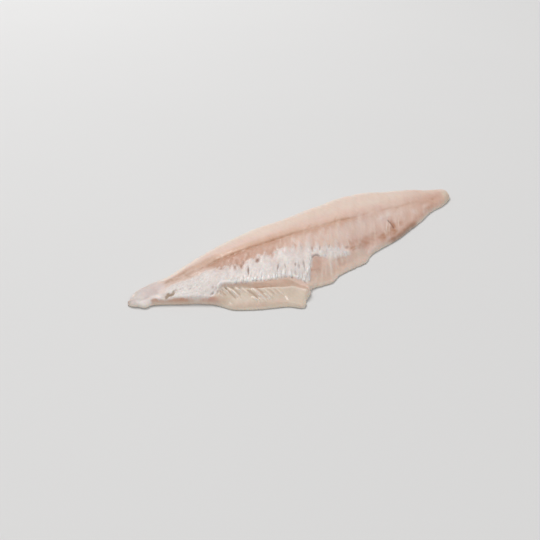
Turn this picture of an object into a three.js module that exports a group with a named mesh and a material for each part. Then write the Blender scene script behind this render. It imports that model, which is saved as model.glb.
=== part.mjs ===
// Pouting fillet: one skinned side of a small white-fleshed cod-like fish, lying flat, inner side up.
// Millimetres, +Z up. +X runs along the fillet from the nape to the tail, +Y towards the back (dorsal) edge.
// The origin is at the middle of the bounding box, on the flat underside that the fillet rests on.
//
// The body is a dome over a flat foot. Its outline is a belly edge and a back edge, each a smooth curve through
// named stations; its thickness rises from a low belly wall to a crest and rolls over at the rim. The belly flap is
// a thin leaf that comes out from under the loin along a seam, and ends in a cut with a notch.
import * as THREE from "three";

// ---- driving dimensions (mm) ----
const LENGTH = 225.4; // nape tip to tail tip
const FLAP_THICKNESS = 1.9; // belly flap, away from the seam
const FLAP_SWELL = 2.4; // extra thickness of the flap where it meets the seam
const SEAM_WIDTH = 3.4; // how far the step from flap to loin takes
const FLAP_FROM = 34; // the flap starts here along the length
const FLAP_TO = 80; // and ends here
const RIM_BACK = 15; // roll-over width of the back edge
const CREST_AT = 0.6; // share of the loin's width over which the thickness rises to its crest
const GROOVE_DEPTH = 0.9; // furrow left by the backbone
const GROOVE_HALF = 1.7;
const MEMBRANE_RISE = 0.4; // white belly lining that stands proud of the flesh
const SKIRT_THICKNESS = 1.35; // thin flesh along the belly edge behind the flap, at the very edge
const SKIRT_SLOPE = 0.22; // how fast it thickens inwards
const SKIRT_WIDTH = 9;
const WAVE = 0.12; // gentle unevenness of the flesh

// Stations along the length: [x, value].
const BACK_EDGE = [
  [0, -0.9], [1.5, 0.5], [4.4, 4.2], [11.3, 7.1], [18.2, 7.8], [24.1, 7.6], [33, 10.4], [45.8, 14.6],
  [60.6, 17.8], [80.3, 21], [104.9, 21.9], [129.5, 25], [154.2, 28.6], [170.9, 28], [186.7, 23.3],
  [200.4, 19.8], [213.3, 12.6], [220.8, 9.3], [224, 7.8], [225.1, 6.3], [LENGTH, 4.6],
];
const BELLY_EDGE = [
  [0, -0.9], [1.5, -4], [4.4, -7], [11.3, -8.5], [21.2, -14.4], [31, -20.5], [36, -24.8],
  // belly flap, its cut corner and the notch behind it
  [40.9, -32.8], [46.8, -37], [55.7, -41.6], [65.5, -46.1], [71.2, -50.6], [75.8, -46.1], [79.3, -44.1], [82.5, -40.2],
  // trimmed belly wall, running back to the tail
  [90.1, -39.8], [95.1, -40.6], [104.9, -36.6], [115.7, -35.3], [125.6, -34.1], [130.5, -30.5], [139.4, -27.7],
  [154.2, -25], [168.9, -20.3], [183.7, -15.4], [196.5, -10.1], [210.3, -7.4], [217.8, -4.4], [222.8, -1.2],
  [224.9, 2.2], [LENGTH, 4.6],
];
const CREST_HEIGHT = [
  [0, 3], [10, 4.1], [25, 6.2], [50, 9.6], [80, 12.6], [105, 13.4], [135, 12.6], [165, 10.2], [190, 7.6],
  [210, 5.4], [222, 4.2], [LENGTH, 3.4],
];
const WALL_HEIGHT = [
  [0, 2.5], [15, 3.1], [25, 3.4], [35, 4], [45, 5], [60, 5.4], [80, 3.9], [95, 2.8], [130, 2.3], [180, 2.2], [LENGTH, 2.3],
];
// Rounding radius of the belly edge.
const BELLY_RIM = [
  [0, 3], [4, 4], [9, 4.2], [13, 2.6], [20, 2.2], [36, 2.4], [42, 4.2], [60, 4.2], [68, 2.4], [80, 1.6], [95, 1.8], [130, 2], [145, 3.2],
  [180, 3.4], [LENGTH, 2.6],
];
// Foot of the loin, which runs on smoothly under the flap and meets the belly edge at both ends.
const LOIN_FOOT = [[31, -20.5], [40, -22.5], [50, -25], [60, -29], [72, -34.5], [84, -38.6], [95.1, -40.6]];
const SEAM = [
  [FLAP_FROM, -22.9], [37, -21.7], [40, -19.4], [43, -18.4], [48, -20.4], [53.4, -23.8], [59.4, -27.4], [64, -30],
  [68.4, -32.4], [72.1, -34], [75.5, -36.4], [FLAP_TO, -44],
];
const GROOVE = [
  [18, -0.3], [30, -0.4], [47, -0.5], [57, -1.1], [65, -1.9], [75, -2.9], [90, -3.5], [100, -4.4], [112, -4.8], [125, -5],
  [137, -4.6], [165, -4.8], [184, -6.2],
];
// Upper and lower edge of the white belly lining.
const MEMBRANE_TOP = [[12, -3], [25, -3.6], [40, -4.8], [48, -8.8], [58, -12.8], [67, -13.2], [84, -14.2], [96, -18.4], [110, -22.8], [120, -26.4]];
const MEMBRANE_FOOT = [
  [12, -7.9], [20, -12.6], [30, -18.4], [36.8, -22.5], [41, -18.5], [44, -17.3], [50, -20], [60, -25.2], [72, -29.2], [78, -32],
  [82.3, -36.6], [88.2, -31], [94, -24.9], [102, -26.6], [115, -29], [120, -26.5],
];

// ---- smooth curve through stations, with limited slopes so that it never overshoots much ----
function curve(stations, warp = (x) => x) {
  const xs = stations.map((s) => warp(s[0]));
  const ys = stations.map((s) => s[1]);
  const n = xs.length;
  const step = (i) => xs[i + 1] - xs[i];
  const rise = (i) => (ys[i + 1] - ys[i]) / step(i);
  const slope = xs.map((_, i) =>
    i === 0 ? rise(0) : i === n - 1 ? rise(n - 2) : (step(i) * rise(i - 1) + step(i - 1) * rise(i)) / (step(i - 1) + step(i)),
  );
  return (x) => {
    const at = Math.min(Math.max(warp(x), xs[0]), xs[n - 1]);
    let i = 0;
    while (i < n - 2 && at >= xs[i + 1]) i++;
    const h = step(i);
    const t = (at - xs[i]) / h;
    return (
      ys[i] * (2 * t ** 3 - 3 * t ** 2 + 1) +
      h * slope[i] * (t ** 3 - 2 * t ** 2 + t) +
      ys[i + 1] * (3 * t ** 2 - 2 * t ** 3) +
      h * slope[i + 1] * (t ** 3 - t ** 2)
    );
  };
}
const clamp = (v, lo = 0, hi = 1) => Math.min(Math.max(v, lo), hi);
const ease = (v) => clamp(v) ** 2 * (3 - 2 * clamp(v));

// Both ends are blunt, so the edges are drawn over the arc angle instead of over x.
const arc = (x) => Math.acos(clamp(1 - (2 * x) / LENGTH, -1, 1)) / Math.PI;
const backEdge = curve(BACK_EDGE, arc);
const bellyEdge = curve(BELLY_EDGE, arc);
const crestHeight = curve(CREST_HEIGHT);
const wallHeight = curve(WALL_HEIGHT);
const bellyRim = curve(BELLY_RIM);
const seam = curve(SEAM);
const loinFoot = curve(LOIN_FOOT);
const groove = curve(GROOVE);
const membraneTop = curve(MEMBRANE_TOP);
const membraneFoot = curve(MEMBRANE_FOOT);

// Where the loin's thickness starts to rise, and where the step down to the flap is.
const loinBase = (x) => (x < LOIN_FOOT[0][0] || x > LOIN_FOOT[LOIN_FOOT.length - 1][0] ? bellyEdge(x) : loinFoot(x));
const loinEdge = (x) => (x < FLAP_FROM || x > FLAP_TO ? bellyEdge(x) : Math.max(bellyEdge(x), seam(x)));

// ---- distance to the outline, for the rounded rim ----
const OUTLINE = [];
for (let i = 0; i <= 400; i++) {
  const x = (LENGTH / 2) * (1 - Math.cos((Math.PI * i) / 400));
  OUTLINE.push([x, bellyEdge(x)], [x, backEdge(x)]);
}
function edgeDistance(x, y) {
  let best = Infinity;
  for (let i = 2; i < OUTLINE.length; i++) {
    const [ax, ay] = OUTLINE[i - 2];
    const [bx, by] = OUTLINE[i];
    const dx = bx - ax;
    const dy = by - ay;
    const t = clamp(((x - ax) * dx + (y - ay) * dy) / (dx * dx + dy * dy || 1));
    best = Math.min(best, Math.hypot(x - ax - t * dx, y - ay - t * dy));
  }
  return best;
}

// ---- thickness at a point of the outline's inside ----
function thickness(x, y) {
  const belly = bellyEdge(x);
  const back = backEdge(x);
  const width = Math.max(back - belly, 1e-3);
  const lower = loinEdge(x);
  const wall = wallHeight(x);
  const base = loinBase(x);
  const rise = clamp((y - base) / (CREST_AT * (back - base) + 1e-3));
  let t = wall + (crestHeight(x) - wall) * Math.sin((Math.PI / 2) * rise) ** 1.15;
  if (lower > belly + 0.3) {
    const onLoin = ease((y - lower) / SEAM_WIDTH + 0.5);
    const flap = FLAP_THICKNESS + FLAP_SWELL * Math.exp(-((Math.max(lower - y, 0) / 8) ** 2));
    t = flap + (t - flap) * onLoin;
  }
  const edgeUp = y - belly;
  const skirt = ease((x - 80) / 10) * ease((142 - x) / 14) * ease(1 - edgeUp / SKIRT_WIDTH);
  t += (SKIRT_THICKNESS + SKIRT_SLOPE * edgeUp - t) * skirt;
  const along = ease((x - 22) / 20) * ease((184 - x) / 40);
  t -= GROOVE_DEPTH * along * Math.exp(-(((y - groove(x)) / GROOVE_HALF) ** 2));
  if (x > 12 && x < 120) {
    const inside = Math.min(ease((membraneTop(x) - y) / 2.4), ease((y - membraneFoot(x)) / 2.4));
    t += MEMBRANE_RISE * inside * ease((x - 12) / 6) * ease((120 - x) / 6);
  }
  t += WAVE * (Math.sin(0.21 * x + 0.12 * y) + Math.sin(0.083 * x - 0.27 * y + 1.3));
  const share = (y - belly) / width;
  const rim = bellyRim(x);
  const radius = rim + (Math.min(RIM_BACK, 0.5 * width) - rim) * clamp((share - 0.45) / 0.4);
  const q = clamp(edgeDistance(x, y) / radius);
  return Math.max(t, 1) * Math.sqrt(Math.max(0, 1 - (1 - q) ** 2));
}

// ---- mesh: stations along, and across them rows that follow the seam and the groove ----
const ALONG = 108;
const ROWS = [7, 2, 11, 11]; // flap, seam, belly loin, back loin
function rowsAt(x) {
  const belly = bellyEdge(x);
  const back = backEdge(x);
  const width = back - belly;
  const lower = loinEdge(x);
  const foot = Math.max(lower - SEAM_WIDTH / 2, belly + 0.13 * width);
  const head = Math.max(lower + SEAM_WIDTH / 2, foot + 0.04 * width);
  const furrow = clamp((groove(x) - belly) / width, 0.5, 0.75) * width + belly;
  const knots = [belly, foot, head, Math.max(furrow, head + 0.2 * width), back];
  const ys = [belly];
  ROWS.forEach((n, k) => {
    for (let j = 1; j <= n; j++) {
      let t = j / n;
      if (k === 0) t = 1 - Math.cos((Math.PI / 2) * t); // finer at the belly rim
      if (k === 3) t = Math.sin((Math.PI / 2) * t); // finer at the back rim
      ys.push(knots[k] + (knots[k + 1] - knots[k]) * t);
    }
  });
  return ys;
}
const stationsX = [];
for (let i = 0; i <= ALONG; i++) {
  const u = i / ALONG;
  stationsX.push(0.45 * (LENGTH / 2) * (1 - Math.cos(Math.PI * u)) + 0.55 * LENGTH * u);
}
const acrossCount = ROWS.reduce((a, b) => a + b, 0) + 1;
const points = [];
const index = [];
const nape = points.push([0, bellyEdge(0), 0]) - 1;
const grid = stationsX.slice(1, -1).map((x) =>
  rowsAt(x).map((y, j) => points.push([x, y, j === 0 || j === acrossCount - 1 ? 0 : thickness(x, y)]) - 1),
);
const tail = points.push([LENGTH, bellyEdge(LENGTH), 0]) - 1;
const first = grid[0];
const last = grid[grid.length - 1];
for (let j = 0; j < acrossCount - 1; j++) {
  index.push(nape, first[j], first[j + 1]);
  index.push(tail, last[j + 1], last[j]);
}
for (let i = 0; i < grid.length - 1; i++) {
  for (let j = 0; j < acrossCount - 1; j++) {
    const [a, b, c, d] = [grid[i][j], grid[i + 1][j], grid[i + 1][j + 1], grid[i][j + 1]];
    index.push(a, b, c, a, c, d);
  }
  // flat underside
  const [a, b, c, d] = [grid[i][0], grid[i + 1][0], grid[i + 1][acrossCount - 1], grid[i][acrossCount - 1]];
  index.push(a, c, b, a, d, c);
}
index.push(nape, first[acrossCount - 1], first[0]);
index.push(tail, last[0], last[acrossCount - 1]);

const geometry = new THREE.BufferGeometry();
geometry.setAttribute("position", new THREE.Float32BufferAttribute(points.flat(), 3));
geometry.setIndex(index);
geometry.computeBoundingBox();
const box = geometry.boundingBox;
geometry.translate(-(box.min.x + box.max.x) / 2, -(box.min.y + box.max.y) / 2, -box.min.z);
geometry.computeVertexNormals();

const flesh = new THREE.MeshStandardMaterial({ color: 0xe2c9b6, roughness: 0.38, metalness: 0 });
const fillet = new THREE.Mesh(geometry, flesh);
fillet.name = "fillet";

const pouting = new THREE.Group();
pouting.add(fillet);
export default pouting;
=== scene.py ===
import math

import bpy
import numpy as np
from mathutils import Matrix, Vector


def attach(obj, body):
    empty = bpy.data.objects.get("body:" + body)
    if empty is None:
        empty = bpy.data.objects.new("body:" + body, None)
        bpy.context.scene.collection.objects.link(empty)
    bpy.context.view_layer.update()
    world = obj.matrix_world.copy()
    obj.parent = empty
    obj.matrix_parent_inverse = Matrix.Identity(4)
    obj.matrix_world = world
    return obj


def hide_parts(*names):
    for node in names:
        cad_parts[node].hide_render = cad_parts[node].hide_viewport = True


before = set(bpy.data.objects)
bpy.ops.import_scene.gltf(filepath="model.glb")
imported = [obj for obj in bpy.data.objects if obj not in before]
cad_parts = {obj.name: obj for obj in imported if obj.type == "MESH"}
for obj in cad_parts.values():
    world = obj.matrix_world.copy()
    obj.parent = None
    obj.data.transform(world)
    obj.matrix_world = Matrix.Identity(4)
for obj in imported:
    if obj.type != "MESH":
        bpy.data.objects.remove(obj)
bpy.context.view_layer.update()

# ---------------------------------------------------------------------------------------------------------------
# The fillet's own coordinates are millimetres: x from the nape tip to the tail, y towards the back edge, z up. The
# row frame has its origin at the middle of the box, so place() shifts them.
# ---------------------------------------------------------------------------------------------------------------
LENGTH = 225.4
FLAP_THICKNESS = 1.9
FLAP_SWELL = 2.4
SEAM_WIDTH = 3.4
FLAP_FROM, FLAP_TO = 34, 80
RIM_BACK = 15
CREST_AT = 0.6
GROOVE_HALF = 1.7

BACK_EDGE = [
    (0, -0.9), (1.5, 0.5), (4.4, 4.2), (11.3, 7.1), (18.2, 7.8), (24.1, 7.6), (33, 10.4), (45.8, 14.6),
    (60.6, 17.8), (80.3, 21), (104.9, 21.9), (129.5, 25), (154.2, 28.6), (170.9, 28), (186.7, 23.3),
    (200.4, 19.8), (213.3, 12.6), (220.8, 9.3), (224, 7.8), (225.1, 6.3), (LENGTH, 4.6),
]
BELLY_EDGE = [
    (0, -0.9), (1.5, -4), (4.4, -7), (11.3, -8.5), (21.2, -14.4), (31, -20.5), (36, -24.8),
    (40.9, -32.8), (46.8, -37), (55.7, -41.6), (65.5, -46.1), (71.2, -50.6), (75.8, -46.1), (79.3, -44.1), (82.5, -40.2),
    (90.1, -39.8), (95.1, -40.6), (104.9, -36.6), (115.7, -35.3), (125.6, -34.1), (130.5, -30.5), (139.4, -27.7),
    (154.2, -25), (168.9, -20.3), (183.7, -15.4), (196.5, -10.1), (210.3, -7.4), (217.8, -4.4), (222.8, -1.2),
    (224.9, 2.2), (LENGTH, 4.6),
]
CREST_HEIGHT = [
    (0, 3), (10, 4.1), (25, 6.2), (50, 9.6), (80, 12.6), (105, 13.4), (135, 12.6), (165, 10.2), (190, 7.6),
    (210, 5.4), (222, 4.2), (LENGTH, 3.4),
]
WALL_HEIGHT = [(0, 2.5), (15, 3.1), (25, 3.4), (35, 4.0), (45, 5.0), (60, 5.4), (80, 3.9), (95, 2.8), (130, 2.3), (180, 2.2), (LENGTH, 2.3)]
BELLY_RIM = [
    (0, 3), (4, 4), (9, 4.2), (13, 2.6), (20, 2.2), (36, 2.4), (42, 4.2), (60, 4.2), (68, 2.4), (80, 1.6), (95, 1.8), (130, 2), (145, 3.2), (180, 3.4),
    (LENGTH, 2.6),
]
LOIN_FOOT = [(31, -20.5), (40, -22.5), (50, -25), (60, -29), (72, -34.5), (84, -38.6), (95.1, -40.6)]
SEAM = [
    (FLAP_FROM, -22.9), (37, -21.7), (40, -19.4), (43, -18.4), (48, -20.4), (53.4, -23.8), (59.4, -27.4), (64, -30.0),
    (68.4, -32.4), (72.1, -34.0), (75.5, -36.4), (FLAP_TO, -44),
]
GROOVE = [
    (18, -0.3), (30, -0.4), (40, -0.5), (47, -0.5), (52, -0.8), (57, -1.1), (60, -1.3), (65, -1.9), (70, -2.4), (75, -2.9), (80, -3.0),
    (85, -3.2), (90, -3.5), (95, -4.0), (100, -4.4), (105, -4.7), (112, -4.8), (120, -5.0), (125, -5.0), (130, -4.7), (137, -4.6),
    (150, -4.5), (165, -4.8), (184, -6.2),
]
# White belly lining: its frayed upper edge, and its torn lower edge.
LINING_TOP = [
    (12, -3.0), (15, -3.4), (20, -3.8), (25, -3.6), (30, -4.8), (33, -5.4), (36, -5.6), (40, -4.8), (45, -6.4), (48, -7.8), (53, -9.2), (56, -10.8),
    (58, -11.8), (61, -11.4), (64, -10.9), (67, -12.2), (70, -11.0), (73, -12.4), (76, -14.2), (80, -12.8), (84, -12.8), (88, -15.0),
    (92, -16.4), (96, -17.2), (100, -18.4), (105, -19.6), (110, -21.2), (115, -23.0), (118, -24.6), (120, -26.0),
]
LINING_FOOT = [
    (12, -7.9), (20, -12.4), (22.5, -13.7), (25, -15.8), (28, -18.0), (30, -19.3), (32, -20.5), (34.5, -21.4), (36.8, -22.3), (39, -20.6), (41, -19.0), (44, -17.9), (46, -18.5), (48, -19.5), (50, -20.6),
    (52, -21.5), (54, -22.6), (56, -23.8), (58, -24.4), (60, -25.2), (63, -26.8), (66, -27.6), (69, -28.6), (72, -29.2), (75, -30.0),
    (78, -32.0), (80.5, -34.8), (82.3, -36.9), (84.2, -36.4), (86, -34.0), (88.2, -31.0), (90.2, -29.0), (92, -27.0), (94, -24.9),
    (97, -24.4), (99.5, -25.2), (102, -26.6), (105, -27.8), (110, -28.2), (115, -29), (118, -28), (120, -26.5),
]
# Foot of the brownish step between the lining and the flap.
CREASE = [
    (40, -19.8), (42, -18.6), (44, -18.4), (46, -19.4), (48, -20.9), (50, -22.3), (52, -23.8), (54, -25.4), (56, -26.8), (60, -28.9),
    (64, -31.0), (68, -33.1), (72, -34.9), (75, -36.6), (77, -39.5), (79.5, -44.0),
]
LINING_FROM, LINING_TO = 13.0, 118.5


def curve(stations, warp=lambda x: x):
    """A smooth curve through stations, with slopes from the neighbouring chords."""
    xs = warp(np.array([s[0] for s in stations], float))
    ys = np.array([s[1] for s in stations], float)
    h = np.diff(xs)
    d = np.diff(ys) / h
    m = np.concatenate([d[:1], (h[1:] * d[:-1] + h[:-1] * d[1:]) / (h[:-1] + h[1:]), d[-1:]])

    def at(x):
        w = np.clip(warp(np.asarray(x, float)), xs[0], xs[-1])
        i = np.clip(np.searchsorted(xs, w, side="right") - 1, 0, len(xs) - 2)
        t = (w - xs[i]) / h[i]
        return (
            ys[i] * (2 * t**3 - 3 * t**2 + 1)
            + h[i] * m[i] * (t**3 - 2 * t**2 + t)
            + ys[i + 1] * (3 * t**2 - 2 * t**3)
            + h[i] * m[i + 1] * (t**3 - t**2)
        )

    return at


def arc(x):
    return np.arccos(np.clip(1 - 2 * x / LENGTH, -1, 1)) / np.pi


def ease(v):
    v = np.clip(v, 0, 1)
    return v * v * (3 - 2 * v)


def bell(v):
    return np.exp(-np.square(v))


def ramp(x, *stations):
    """Straight lines through (x, value) stations."""
    return np.interp(x, [s[0] for s in stations], [s[1] for s in stations])


# ---- seeded noise ----
def chance(i, j, seed):
    """A number from 0 to 1 for each pair of whole numbers."""
    h = (i.astype(np.int64) * 374761393 + j.astype(np.int64) * 668265263 + seed * 974711) & 0xFFFFFFFF
    h = ((h ^ (h >> 13)) * 1274126177) & 0xFFFFFFFF
    h = h ^ (h >> 16)
    h = (h * 1540483477) & 0xFFFFFFFF
    return ((h ^ (h >> 15)) & 0xFFFF) / 65535.0


def noise(u, v, seed):
    """Smooth noise, about -1 to 1, with one cell for each unit of u and v."""
    u, v = np.broadcast_arrays(np.asarray(u, float), np.asarray(v, float))
    i, j = np.floor(u), np.floor(v)
    f, g = u - i, v - j

    def corner(a, b):
        angle = 2 * np.pi * chance(i + a, j + b, seed)
        return np.cos(angle) * (f - a) + np.sin(angle) * (g - b)

    s, t = f**3 * (6 * f * f - 15 * f + 10), g**3 * (6 * g * g - 15 * g + 10)
    low = corner(0, 0) + s * (corner(1, 0) - corner(0, 0))
    high = corner(0, 1) + s * (corner(1, 1) - corner(0, 1))
    return 1.55 * (low + t * (high - low))


def layered(u, v, seed, layers=3):
    total, size = 0, 1.0
    for k in range(layers):
        total = total + size * noise(u * 2**k, v * 2**k, seed + 17 * k)
        size *= 0.5
    return total / 1.6


crest_height = curve(CREST_HEIGHT)
wall_height = curve(WALL_HEIGHT)
belly_rim = curve(BELLY_RIM)
seam = curve(SEAM)
loin_foot = curve(LOIN_FOOT)
groove = curve(GROOVE)
lining_top = curve(LINING_TOP)
lining_foot = curve(LINING_FOOT)
crease_line = curve(CREASE)
plain_back = curve(BACK_EDGE, arc)
plain_belly = curve(BELLY_EDGE, arc)


def back_edge(x):
    x = np.asarray(x, float)
    fade = ease(x / 12) * ease((LENGTH - x) / 12)
    return plain_back(x) + fade * (0.22 * noise(x / 9.0, 0.5, 11) + 0.08 * noise(x / 2.6, 0.5, 12))


def belly_edge(x):
    """The cut belly edge: a little ragged, more so where the flap is torn off."""
    x = np.asarray(x, float)
    fade = ease(x / 6) * ease((LENGTH - x) / 8)
    torn = ease((x - 72) / 2) * ease((86 - x) / 3)
    y = plain_belly(x) + fade * (0.20 * noise(x / 5.5, 0.5, 21) + 0.10 * noise(x / 1.9, 0.5, 22))
    y = y + torn * 0.75 * noise(x / 1.7, 0.5, 23)
    y = y + ease((x - 84) / 4) * ease((134 - x) / 4) * (0.38 * noise(x / 3.1, 0.5, 24) + 0.22 * noise(x / 1.2, 0.5, 25))
    y = y + 0.9 * bell((x - 3.4) / 1.1) - 0.5 * bell((x - 6.8) / 2.0)  # the nape's front corner and lobe
    return y


def loin_base(x):
    inside = (x >= LOIN_FOOT[0][0]) & (x <= LOIN_FOOT[-1][0])
    return np.where(inside, loin_foot(x), plain_belly(x))


def loin_edge(x):
    inside = (x >= FLAP_FROM) & (x <= FLAP_TO)
    return np.where(inside, np.maximum(plain_belly(x), seam(x)), plain_belly(x))


# ---- distance to the outline ----
_u = np.linspace(0, 1, 900)
_x = LENGTH / 2 * (1 - np.cos(np.pi * _u)) * 0.4 + LENGTH * _u * 0.6
OUTLINE = np.concatenate([np.stack([_x, belly_edge(_x)], 1), np.stack([_x, back_edge(_x)], 1)[::-1]])
_y = np.concatenate([plain_belly(_x), plain_back(_x)])
Y_MID = (_y.min() + _y.max()) / 2


def edge_distance(x, y):
    shape = np.broadcast(x, y).shape
    p = np.stack([np.broadcast_to(x, shape).ravel(), np.broadcast_to(y, shape).ravel()], 1)
    a, b = OUTLINE[:-1], OUTLINE[1:]
    d = b - a
    dd = np.maximum((d * d).sum(1), 1e-9)
    best = np.full(len(p), 1e9)
    order = np.argsort(p[:, 0], kind="stable")
    for part in np.array_split(order, max(1, len(p) // 1500)):
        if not len(part):
            continue
        lo, hi = p[part, 0].min() - 17, p[part, 0].max() + 17
        near = (np.maximum(a[:, 0], b[:, 0]) > lo) & (np.minimum(a[:, 0], b[:, 0]) < hi)
        q = p[part][:, None] - a[near][None]
        t = np.clip((q * d[near]).sum(2) / dd[near], 0, 1)
        best[part] = np.sqrt(np.square(q - t[..., None] * d[near]).sum(2).min(1))
    return best.reshape(shape)


def along_across(x, y, angle):
    fx, fy = math.cos(math.radians(angle)), math.sin(math.radians(angle))
    return fx * x + fy * y, fy * x - fx * y


def spot(x, y, at, length, width, angle):
    """1 at the middle of a long spot, falling to 0 outside it."""
    a, c = along_across(x - at[0], y - at[1], angle)
    return bell(a / (0.5 * length)) * bell(c / (0.5 * width))


def patches(x, y, listed):
    total = np.zeros(np.broadcast(x, y).shape)
    for at, length, width, angle, strength in listed:
        total = total + strength * spot(x, y, at, length, width, angle)
    return total


def rim_low_back(x):
    return 0.95 + 1.3 * ease(x / 35) * ease((LENGTH - x) / 30)


def rim_low_belly(x):
    return 0.95 - 0.4 * ease((x - 8) / 12)


def fibre_angle(x):
    """Plan angle of the lining's fibres, in degrees."""
    return ramp(x, (12, 28), (28, 34), (42, 42), (60, 47), (75, 53), (88, 60), (120, 60))


# ---- features of the surface: at, length, width, angle, strength ----
# Strongest orange-pink flesh, between the furrow and the lining.
HOT = [
    ((57.5, -5.6), 13, 8.0, -24, 1.0), ((61.0, -3.3), 11, 3.4, -8, 0.9), ((49.2, -5.2), 7, 5.5, -24, 0.6), ((55.4, -10.6), 5, 2.4, 55, 0.8),
    ((58.6, -12.2), 4.4, 1.9, 58, 0.95), ((67.6, -13.4), 3.4, 2.2, 40, 1.0), ((75.4, -14.6), 4.4, 2.0, 40, 0.6), ((49.2, -8.7), 4.2, 1.5, -12, 0.7),
    ((69.5, -5.2), 12, 4, -8, 0.5), ((67.5, -8.0), 8, 3, -10, 0.4), ((82, -5.4), 12, 3.6, -6, 0.4), ((90, -6.5), 12, 3.4, -6, 0.3),
    ((46.5, -3.0), 3.2, 5, 80, 0.5), ((63.5, -10.4), 4, 1.8, 50, 0.5), ((72.8, -12.4), 3, 1.6, 55, 0.5), ((104, -6.6), 14, 3.0, -4, 0.3),
]
# Light brown blotches on the thin nape end of the furrow.
BLOTCHES = [
    ((21.6, -0.4), 5.4, 3.0, 0, 0.9), ((24.4, 0.0), 4.4, 2.4, 0, 0.5), ((27.0, -1.6), 5.0, 2.4, -10, 0.8), ((31.6, 0.3), 5.0, 2.8, 0, 0.8), ((32.6, -2.9), 5.6, 3.8, 12, 1.0),
    ((38.0, -1.2), 4, 2.2, 0, 0.35), ((42.2, -1.6), 5, 2.2, 0, 0.4), ((28.5, -3.0), 4, 1.8, 15, 0.4), ((37.0, -4.4), 4, 1.6, 20, 0.4),
]
BROWN = [
    ((121.8, -21.4), 4.4, 3.6, 0, 0.45), ((127, -23.4), 13, 4.6, 2, 0.6), ((121.6, -25.2), 4.5, 1.8, 10, 0.75), ((136, -22.4), 12, 4.6, 8, 0.45),
    ((132, -20.4), 14, 3.8, 6, 0.4), ((125.5, -25.0), 8, 1.8, 2, 0.3), ((146.5, -22.2), 9, 4.2, 18, 0.95), ((151, -20.5), 10, 5, 16, 0.6), ((157.6, -20.0), 8, 5.0, 30, 1.0), ((154, -17.6), 7, 4.4, 50, 0.65),
    ((165.5, -15.6), 8, 3.4, 16, 0.7), ((160.2, -15.4), 8.5, 3.2, 68, 1.0), ((171, -17.4), 12, 3.0, 18, 0.4), ((176, -13.5), 10, 4.4, 20, 0.12),
    ((143, -18.4), 12, 3.4, 20, 0.4), ((167.5, -12.0), 6, 3.4, 40, 0.22), ((194.5, -8.4), 7, 2.6, 16, 0.6), ((201, -6.4), 12, 3.4, 16, 0.45),
    ((187, -11.9), 12, 2.4, 22, 0.25), ((206, -2.2), 2.4, 1.4, 20, 0.6), ((199, -2.5), 14, 5, 14, 0.35), ((209, -1.2), 8, 4, 14, 0.3),
    ((103.5, -33.2), 7, 3.4, 30, 0.3), ((113, -31.8), 9, 3, 8, 0.15),
]
# Oblique salmon streaks into which the furrow breaks up towards the tail.
FAINT = [
    ((107.6, -3.0), 7.5, 1.0, 32, 0.6), ((113.0, -4.0), 7, 1.1, 24, 0.5), ((119.0, -6.2), 7, 1.6, 18, 0.5), ((127.5, -2.4), 7, 1.0, 40, 0.4),
    ((100.0, -3.4), 5, 0.9, 36, 0.35), ((132.0, -4.5), 13, 2.2, -2, 0.85), ((131.0, -6.4), 11, 1.6, 6, 0.5), ((146, -4.4), 11, 1.6, 6, 0.35),
    ((154, -2.4), 10, 1.2, 14, 0.25), ((165, -3.0), 13, 1.7, 10, 0.55), ((176, -2.8), 11, 1.9, 6, 0.5), ((187, -1.8), 18, 2.2, 4, 0.45),
    ((160, -6.4), 9, 1.0, 24, 0.2), ((171, -5.4), 9, 1.2, 28, 0.3), ((143.5, -2.4), 7, 1.0, 34, 0.3), ((149.5, -5.2), 6, 1.2, 12, 0.25),
]
PALE = [
    ((162, -7.4), 14, 5.0, 10, 0.55), ((170, -9.2), 9, 4.0, 30, 0.5), ((156, -9.4), 7, 3.4, 30, 0.45), ((197, -5.6), 7, 2.6, 20, 0.35), ((137.5, -9.5), 12, 4.4, 30, 0.5), ((150, -10.5), 14, 7, 20, 0.35), ((128, -12), 16, 6, 30, 0.2), ((183.6, -8.8), 5.0, 3.6, 50, 1.0), ((175, -7.0), 8, 3.6, 40, 0.35),
    ((158.6, -8.6), 8.5, 1.6, 12, 0.55), ((141.5, -11.5), 9, 5, 50, 0.3), ((165, -7.0), 9, 3, 0, 0.35), ((117, -33), 18, 3.4, 6, 0.35),
    ((136, -26.9), 7, 1.8, 12, 0.85), ((131.5, -28.6), 5, 1.6, 20, 0.5), ((153, -16), 5, 4, 55, 0.25), ((191, -9.9), 8, 1.2, 20, 0.4),
]
# Cream flesh, thin enough to let the light through, along the belly edge.
CREAMY = [
    ((120.5, -30.0), 12, 4.4, 10, 0.5), ((112, -30.6), 8, 3.0, 10, 0.35), ((76.5, -33.4), 6.5, 4.0, -30, 0.5), ((92, -37.2), 13, 4.6, 8, 0.85), ((84, -36.8), 7, 3.0, 30, 0.6), ((103, -35.2), 12, 3.2, 14, 0.7), ((97.5, -32.2), 8, 3.2, 20, 0.5),
    ((116, -33.4), 16, 2.6, 8, 0.75), ((126, -30.8), 9, 2.6, 24, 0.6), ((92.5, -32.5), 6, 3.2, 50, 0.4), ((122.5, -29.2), 9, 2.2, 20, 0.5),
]
# Pinkish places on the flap.
BLUSH = [
    ((52.6, -38.6), 7, 3.0, -30, 0.8), ((63.0, -41.4), 9, 3.2, -30, 0.7), ((57.2, -31.5), 11, 2.6, 100, 0.8), ((37.6, -24.0), 5, 3.4, -62, 0.7),
    ((48, -33.5), 6, 3, -20, 0.4), ((77.0, -38.6), 8, 2.4, -72, 0.9), ((44, -33), 8, 2.4, -42, 0.35), ((65.5, -35), 6, 2.5, 100, 0.3),
]
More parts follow.
